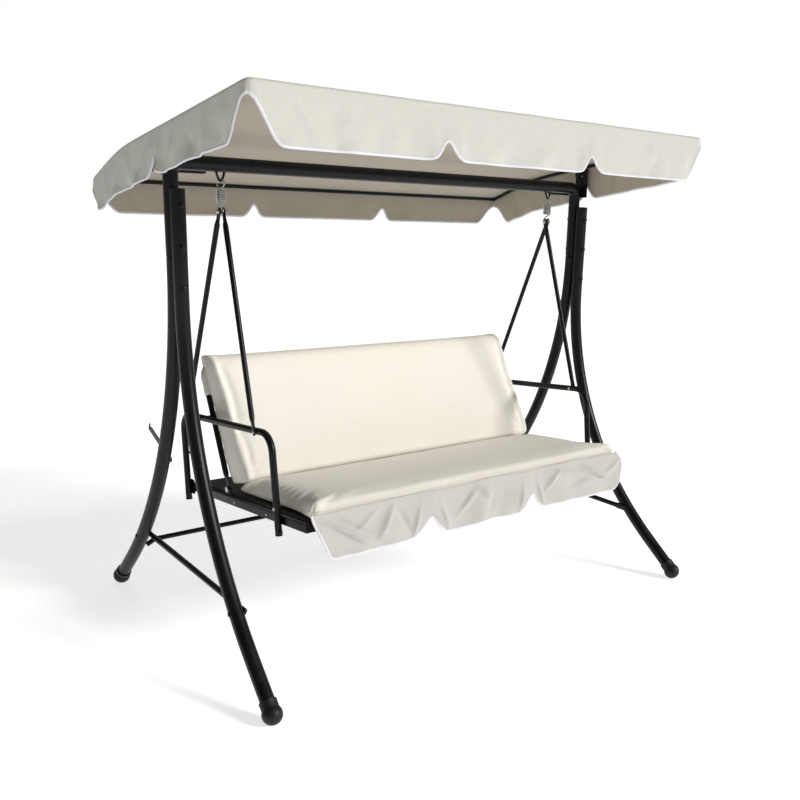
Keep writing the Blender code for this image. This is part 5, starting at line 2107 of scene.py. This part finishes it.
    def build(self) -> None:
        """Make the cushion, its seam, the skirt and the skirt's binding."""
        part, rim, lower = self.shape.surface()
        pad = make_object("seat_pad", part, [self.palette.cushion], Body.SEAT,
                          replaces=("seat_cushion",), sharp=180)
        rest = part.points
        inflate(pad, lower & (rest[:, 2] < -0.020), pressure=4.0, cap=0.011)
        shaped = Part(self.details(read_points(pad), rest, lower), []).moved(self.matrix())
        write_points(pad, shaped.points)
        soften(pad)
        edge = np.concatenate([shaped.points[rim], shaped.points[rim[:1]]])
        make_object("seat_pad_seam", binding_tube(edge, 0.0016, 0.0022, loop=True),
                    [self.palette.cushion_seam], Body.SEAT)
        cloth, hem = self.skirt()
        skirt = make_object("seat_skirt_cloth", cloth, [self.palette.skirt], Body.SEAT,
                            replaces=("seat_skirt",), sharp=80)
        add_thickness(skirt, 0.0018)
        binding = make_object("seat_skirt_binding", binding_tube(hem, 0.0028, 0.0042),
                              [self.palette.piping], Body.SEAT)


@dataclass
class Backrest:
    """The hinged back frame, its cushion, the pocket over its top and the joining strip."""

    palette: Palette
    pivot: tuple[float, float] = (0.108, 0.523)
    lean: float = math.radians(24.3)
    half_x: float = 0.757
    radius: float = 0.011
    length: float = 0.500
    corner: float = 0.060
    shape: Pillow = Pillow(half_u=0.760, span_v=(0.010, 0.534), up=0.058, down=0.003,
                           roll_u=0.024, roll_v=(0.026, 0.046), corner=0.012)
    seam_out: float = 0.0155
    foot_swell: float = 0.050
    foot_drop: float = 0.030
    pocket_start: float = 0.372
    strip_half: float = 0.700

    def matrix(self) -> Matrix:
        """Return the backrest's frame: u across, v up along it, w out of its front."""
        sine, cosine = math.sin(self.lean), math.cos(self.lean)
        return Matrix(((1, 0, 0, 0),
                       (0, sine, -cosine, self.pivot[0]),
                       (0, cosine, sine, self.pivot[1]),
                       (0, 0, 0, 1)))

    def tube_frame(self) -> Part:
        """Return the bent tube with its pressed lower ends, in the world frame.

        Near its ends the section's half width across X is pressed to about a quarter and
        the other half grows by a third; a smooth step leads into the round tube.

        Returns:
            The tube.
        """
        side = [(-self.half_x, v, 0.0) for v in (-0.013, -0.011, 0.0, 0.020, 0.035, 0.040, 0.046,
                                                 0.052, 0.058, 0.066)]
        bend = rounded_path([side[-1], (-self.half_x, self.length, 0.0),
                             (self.half_x, self.length, 0.0), (self.half_x, side[-1][1], 0.0)],
                            self.corner, steps=18)
        left = np.array(side[:-1])
        right = left[::-1] * np.array([-1.0, 1.0, 1.0])
        path = np.concatenate([left, bend, right])
        share = np.clip((path[:, 1] - 0.035) / 0.031, 0.0, 1.0)
        share = share * share * (3 - 2 * share)
        thin, wide = self.radius * (0.27 + 0.73 * share), self.radius * (1.32 - 0.32 * share)
        end = np.clip((path[:, 1] + 0.013) / 0.013, 0.0, 1.0)
        wide = wide * np.sqrt(0.45 + 0.55 * np.clip(end, 0, 1))
        return tube(path, np.stack([thin, wide], axis=-1), sides=28).moved(self.matrix())

    def details(self, points: Array, rest: Array, lower: Array) -> Array:
        """Add the cover's side folds and its slack to the filled pad, in its own frame.

        Beside each side seam a soft valley runs up the pad, broken by slanting gathers;
        the lower corners pull in, and the top edge rolls back towards the frame. Towards
        the foot the pad grows thicker by up to foot_swell and sinks by foot_drop.

        Args:
            points: the filled pad's points.
            rest: the points before filling.
            lower: which points are on the panel at the back.

        Returns:
            The changed points.
        """
        inward = np.maximum(0.0, self.shape.half_u - np.abs(rest[:, 0]))
        flat = rest[:, :2]
        drift = smooth_noise(flat, 0.20, SEED + 30)
        valley = -0.0030 * np.exp(-((inward - 0.050 - 0.012 * drift) / 0.011) ** 2)
        ridge = 0.0030 * np.exp(-((inward - 0.028 - 0.008 * drift) / 0.010) ** 2)
        gather = 0.0022 * np.sin(2 * math.pi * rest[:, 1] / 0.058 + 2.6 * drift + inward * 30)
        gather *= np.exp(-(inward / 0.050) ** 2)
        slack = 0.0018 * smooth_noise(flat * np.array([1.0, 0.6]), 0.34, SEED + 31)
        top = np.clip((rest[:, 1] - 0.36) / (self.shape.span_v[1] - 0.36), 0.0, 1.0)
        change = points.copy()
        front = np.where(lower, 0.0, valley + ridge + gather + slack * (rest[:, 2] > 0.002))
        change[:, 2] += front
        change[:, 2] -= 0.0145 * top ** 2.2
        for side in (-1.0, 1.0):
            spot = np.stack([rest[:, 1], self.shape.half_u - side * rest[:, 0]], axis=-1)
            for crease in self.creases():
                change[:, 2] += np.where(lower, 0.0, crease.lift(spot))
        forward = np.where(lower, 0.0, np.clip(rest[:, 2] / self.shape.up, 0.0, 1.0))
        thick = np.clip(1.0 - rest[:, 1] / 0.42, 0.0, 1.0) ** 1.25
        change[:, 2] += self.foot_swell * thick * forward
        foot = np.clip((0.14 - rest[:, 1]) / 0.13, 0.0, 1.0)
        change[:, 1] -= self.foot_drop * foot ** 2 * forward
        upper = np.clip((rest[:, 1] - 0.33) / 0.06, 0.0, 1.0)
        share = 0.005 * upper ** 2 - 0.011 * foot ** 2
        change[:, 0] += np.sign(rest[:, 0]) * share * np.exp(-(inward / 0.12) ** 2)
        return change

    def creases(self) -> tuple[Crease, ...]:
        """Return the folds beside a side seam by (up the pad, in from its side)."""
        return (Crease((0.440, 0.040), -6, 0.080, 0.0080, -0.0065),
                Crease((0.330, 0.052), 5, 0.090, 0.0085, -0.0060),
                Crease((0.190, 0.040), -7, 0.080, 0.0080, -0.0065),
                Crease((0.095, 0.050), 14, 0.060, 0.0080, -0.0060),
                Crease((0.490, 0.070), 40, 0.040, 0.0080, -0.0035),
                Crease((0.060, 0.075), 52, 0.045, 0.0090, -0.0045),
                Crease((0.260, 0.026), 3, 0.110, 0.0080, 0.0045),
                Crease((0.420, 0.022), -4, 0.090, 0.0075, 0.0045))

    def pocket(self) -> Part:
        """Work out the pocket that holds the cushion on the frame's top.

        Each level round it is a stadium: two straight runs joined by half circles about the
        frame's side tubes. The levels close over the top bar as a quarter circle, and the
        corners are rounded with the frame's.

        Returns:
            The open-mouthed cloth, in the world frame.
        """
        levels, deepest = 30, 0.0134
        end = np.linspace(-math.pi / 2, math.pi / 2, 13)
        straight = np.linspace(1.0, -1.0, 112)[1:-1]
        level = np.ones_like(straight)
        core = np.concatenate([np.ones(13), straight, -np.ones(13), -straight])
        swing = np.concatenate([np.cos(end), level * 0, -np.cos(end), level * 0])
        depth = np.concatenate([np.sin(end), level, -np.sin(end), -level])
        around = len(core)
        top = self.length + deepest
        v = self.pocket_start + (top - self.pocket_start) * np.sin(
            np.linspace(0.0, math.pi / 2, levels))
        above = np.clip((v - self.length) / deepest, 0.0, 1.0)
        deep = deepest * np.sqrt(1 - above ** 2) + 0.0004
        bend = self.corner + deepest
        past = np.clip(v - self.length + self.corner, 0.0, bend)
        half = self.half_x - self.corner + np.sqrt(np.maximum(bend ** 2 - past ** 2, 0.0))
        inner = np.maximum(half - deep, 0.0)[:, None]
        u = inner * core + deep[:, None] * swing
        w = deep[:, None] * depth
        rise = np.linspace(0.0, 1.0, levels)
        side = np.sign(depth)
        flat = np.stack([u, np.broadcast_to(v[:, None], u.shape)], axis=-1)
        ripple = 0.0012 * smooth_noise(flat * np.array([1.0, 0.4]), 0.07, SEED + 40)
        w = w + ripple * (1 - rise[:, None])
        points = np.stack([u, np.broadcast_to(v[:, None], u.shape), w], axis=-1)
        wrapped = np.stack([u + 0.03 * side, np.broadcast_to(v[:, None], u.shape)], axis=-1)
        points = np.concatenate([points.reshape(-1, 3), [[0.0, top, 0.0]]])
        uv = np.concatenate([wrapped.reshape(-1, 2), [[0.0, top]]])
        faces = grid_faces(levels, around, wrap=True)
        last = (levels - 1) * around
        faces += fan(len(points) - 1, last, around)
        return Part(points, faces, uv).moved(self.matrix())

    def strip(self) -> Part:
        """Work out the cloth that joins the two cushions across the hinge.

        Its section is a shallow hollow from inside the seat cushion's rear roll, under
        its rear seam, to just below the back cushion's lower seam, carried side to side.

        Returns:
            The open strip.
        """
        section = np.array([[0.062, 0.5470], [0.070, 0.5400], [0.078, 0.5350], [0.085, 0.5320],
                            [0.091, 0.5315], [0.096, 0.5330], [0.099, 0.5365]])
        fine = np.linspace(0.0, 1.0, 28)
        rough = np.linspace(0.0, 1.0, len(section))
        y, z = np.interp(fine, rough, section[:, 0]), np.interp(fine, rough, section[:, 1])
        x = np.linspace(-self.strip_half, self.strip_half, 150)
        gx, gy = np.meshgrid(x, y)
        _, gz = np.meshgrid(x, z)
        steps = np.hypot(np.diff(y, prepend=y[0]), np.diff(z, prepend=z[0])).cumsum()
        _, arc = np.meshgrid(x, steps)
        gz = gz + 0.0008 * smooth_noise(np.stack([gx, arc * 0.5], axis=-1), 0.10, SEED + 50)
        points = np.stack([gx, gy, gz], axis=-1).reshape(-1, 3)
        return Part(points, grid_faces(28, 150), np.stack([gx, arc], axis=-1).reshape(-1, 2))

    def build(self) -> None:
        """Make the frame, the pad with its seam, the pocket and the joining strip."""
        make_object("backrest_frame_finish", self.tube_frame(), [self.palette.steel],
                    Body.BACKREST, replaces=("backrest_frame",))
        part, rim, lower = self.shape.surface()
        pad = make_object("back_pad", part, [self.palette.cushion], Body.BACKREST,
                          replaces=("back_cushion",), sharp=180)
        rest = part.points
        inflate(pad, lower & (rest[:, 2] < -0.016), pressure=4.0, cap=0.010)
        moved = Matrix(self.matrix())
        shaped = Part(self.details(read_points(pad), rest, lower), []).moved(
            moved @ Matrix.Translation((0, 0, self.seam_out)))
        write_points(pad, shaped.points)
        soften(pad)
        edge = np.concatenate([shaped.points[rim], shaped.points[rim[:1]]])
        make_object("back_pad_seam", binding_tube(edge, 0.0016, 0.0020, loop=True),
                    [self.palette.cushion_seam], Body.BACKREST)
        pocket = make_object("back_pocket", self.pocket(), [self.palette.cushion], Body.BACKREST,
                             sharp=80)
        add_thickness(pocket, 0.0014)
        strip = make_object("cushion_joining_strip", self.strip(), [self.palette.cushion],
                            Body.SEAT, sharp=80)
        let_go(strip)
        add_thickness(strip, 0.0016)
        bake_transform(strip)


# ---- studio ------------------------------------------------------------------------------
@dataclass
class Studio:
    """The floor, the lights and the camera."""

    place: tuple[float, float, float] = (-2.2167, -2.9385, 1.5627)
    heading: float = math.radians(40.272)
    pitch: float = math.radians(14.538)
    roll: float = math.radians(1.958)
    lens: float = 40.292
    shift: tuple[float, float] = (-0.06834, 0.06025)

    def camera(self) -> None:
        """Set up the camera from its heading, pitch and roll."""
        ahead = Vector((math.sin(self.heading) * math.cos(self.pitch),
                        math.cos(self.heading) * math.cos(self.pitch), -math.sin(self.pitch)))
        level = Vector((math.cos(self.heading), -math.sin(self.heading), 0.0))
        up = level.cross(ahead)
        right = level * math.cos(self.roll) + up * math.sin(self.roll)
        above = up * math.cos(self.roll) - level * math.sin(self.roll)
        data = bpy.data.cameras.new("camera")
        data.sensor_width = 36.0
        data.lens = self.lens
        data.shift_x, data.shift_y = self.shift
        eye = bpy.data.objects.new("camera", data)
        turn = Matrix((right, above, -ahead)).transposed().to_4x4()
        eye.matrix_world = Matrix.Translation(Vector(self.place)) @ turn
        bpy.context.scene.collection.objects.link(eye)
        bpy.context.scene.camera = eye

    def sun(self, name: str, heading: float, elevation: float, strength: float, spread: float,
            colour: tuple[float, float, float]) -> None:
        """Add a broad distant light.

        Args:
            name: its name.
            heading: where it comes from, in degrees from -Y towards +X.
            elevation: its height above the horizon in degrees.
            strength: its strength.
            spread: its apparent width in degrees, which softens the shadows.
            colour: its linear colour.
        """
        data = bpy.data.lights.new(name, "SUN")
        data.energy = strength
        data.angle = math.radians(spread)
        data.color = colour
        lamp = bpy.data.objects.new(name, data)
        turn, rise = math.radians(heading), math.radians(elevation)
        source = Vector((math.sin(turn) * math.cos(rise), -math.cos(turn) * math.cos(rise),
                         math.sin(rise)))
        lamp.rotation_euler = source.to_track_quat("Z", "Y").to_euler()
        bpy.context.scene.collection.objects.link(lamp)

    def floor(self) -> None:
        """Lay a plain white floor that glows a little, so that it stays pale."""
        corners = [(-30.0, -30.0, 0.0), (30.0, -30.0, 0.0), (30.0, 30.0, 0.0), (-30.0, 30.0, 0.0)]
        mesh = bpy.data.meshes.new("floor")
        mesh.from_pydata(corners, [], [(0, 1, 2, 3)])
        ground = bpy.data.objects.new("floor", mesh)
        bpy.context.scene.collection.objects.link(ground)
        material, hand, shader = start_material("floor_paint")
        place = hand.add("ShaderNodeTexCoord")
        mottle = hand.noise(place.outputs["Object"], 2.0)
        hand.wire(hand.mix(hand.ramp(mottle, 0.3, 0.7), (0.90, 0.90, 0.90, 1.0),
                           (0.91, 0.91, 0.91, 1.0)), shader.inputs["Base Color"])
        shader.inputs["Roughness"].default_value = 0.9
        shader.inputs["Specular IOR Level"].default_value = 0.0
        shader.inputs["Emission Color"].default_value = (1.0, 1.0, 1.0, 1.0)
        shader.inputs["Emission Strength"].default_value = 0.72
        mesh.materials.append(material)

    def build(self) -> None:
        """Set up everything around the object."""
        self.camera()
        self.floor()
        self.sun("key_light", 34.0, 27.0, 2.92, 16.0, (1.0, 0.985, 0.955))
        self.sun("rim_light", 160.0, 40.0, 0.22, 30.0, (1.0, 0.96, 0.90))
        world = bpy.data.worlds.new("studio")
        world.use_nodes = True
        tree = world.node_tree
        sky = tree.nodes["Background"]
        sky.inputs["Color"].default_value = (1.0, 0.94, 0.84, 1.0)
        sky.inputs["Strength"].default_value = 0.05
        white = tree.nodes.new("ShaderNodeBackground")
        white.inputs["Strength"].default_value = 1.0
        white.inputs["Color"].default_value = (1.0, 1.0, 1.0, 1.0)
        rays = tree.nodes.new("ShaderNodeLightPath")
        mix = tree.nodes.new("ShaderNodeMixShader")
        tree.links.new(rays.outputs["Is Camera Ray"], mix.inputs[0])
        tree.links.new(sky.outputs[0], mix.inputs[1])
        tree.links.new(white.outputs[0], mix.inputs[2])
        tree.links.new(mix.outputs[0], tree.nodes["World Output"].inputs["Surface"])
        bpy.context.scene.world = world
        bpy.context.scene.view_settings.view_transform = "Standard"


def main() -> None:
    """Build the bench piece by piece."""
    logging.basicConfig(level=logging.INFO, format="%(message)s")
    palette = Palette()
    canopy_frame = CanopyFrame(palette)
    seat = SeatFrame(palette)
    Stand(palette).build()
    canopy_frame.build()
    CanopyCover(palette, canopy_frame).build()
    Suspension(palette).build()
    seat.build()
    SeatPad(palette, seat).build()
    Backrest(palette).build()
    Studio().build()


if __name__ == "__main__":
    main()
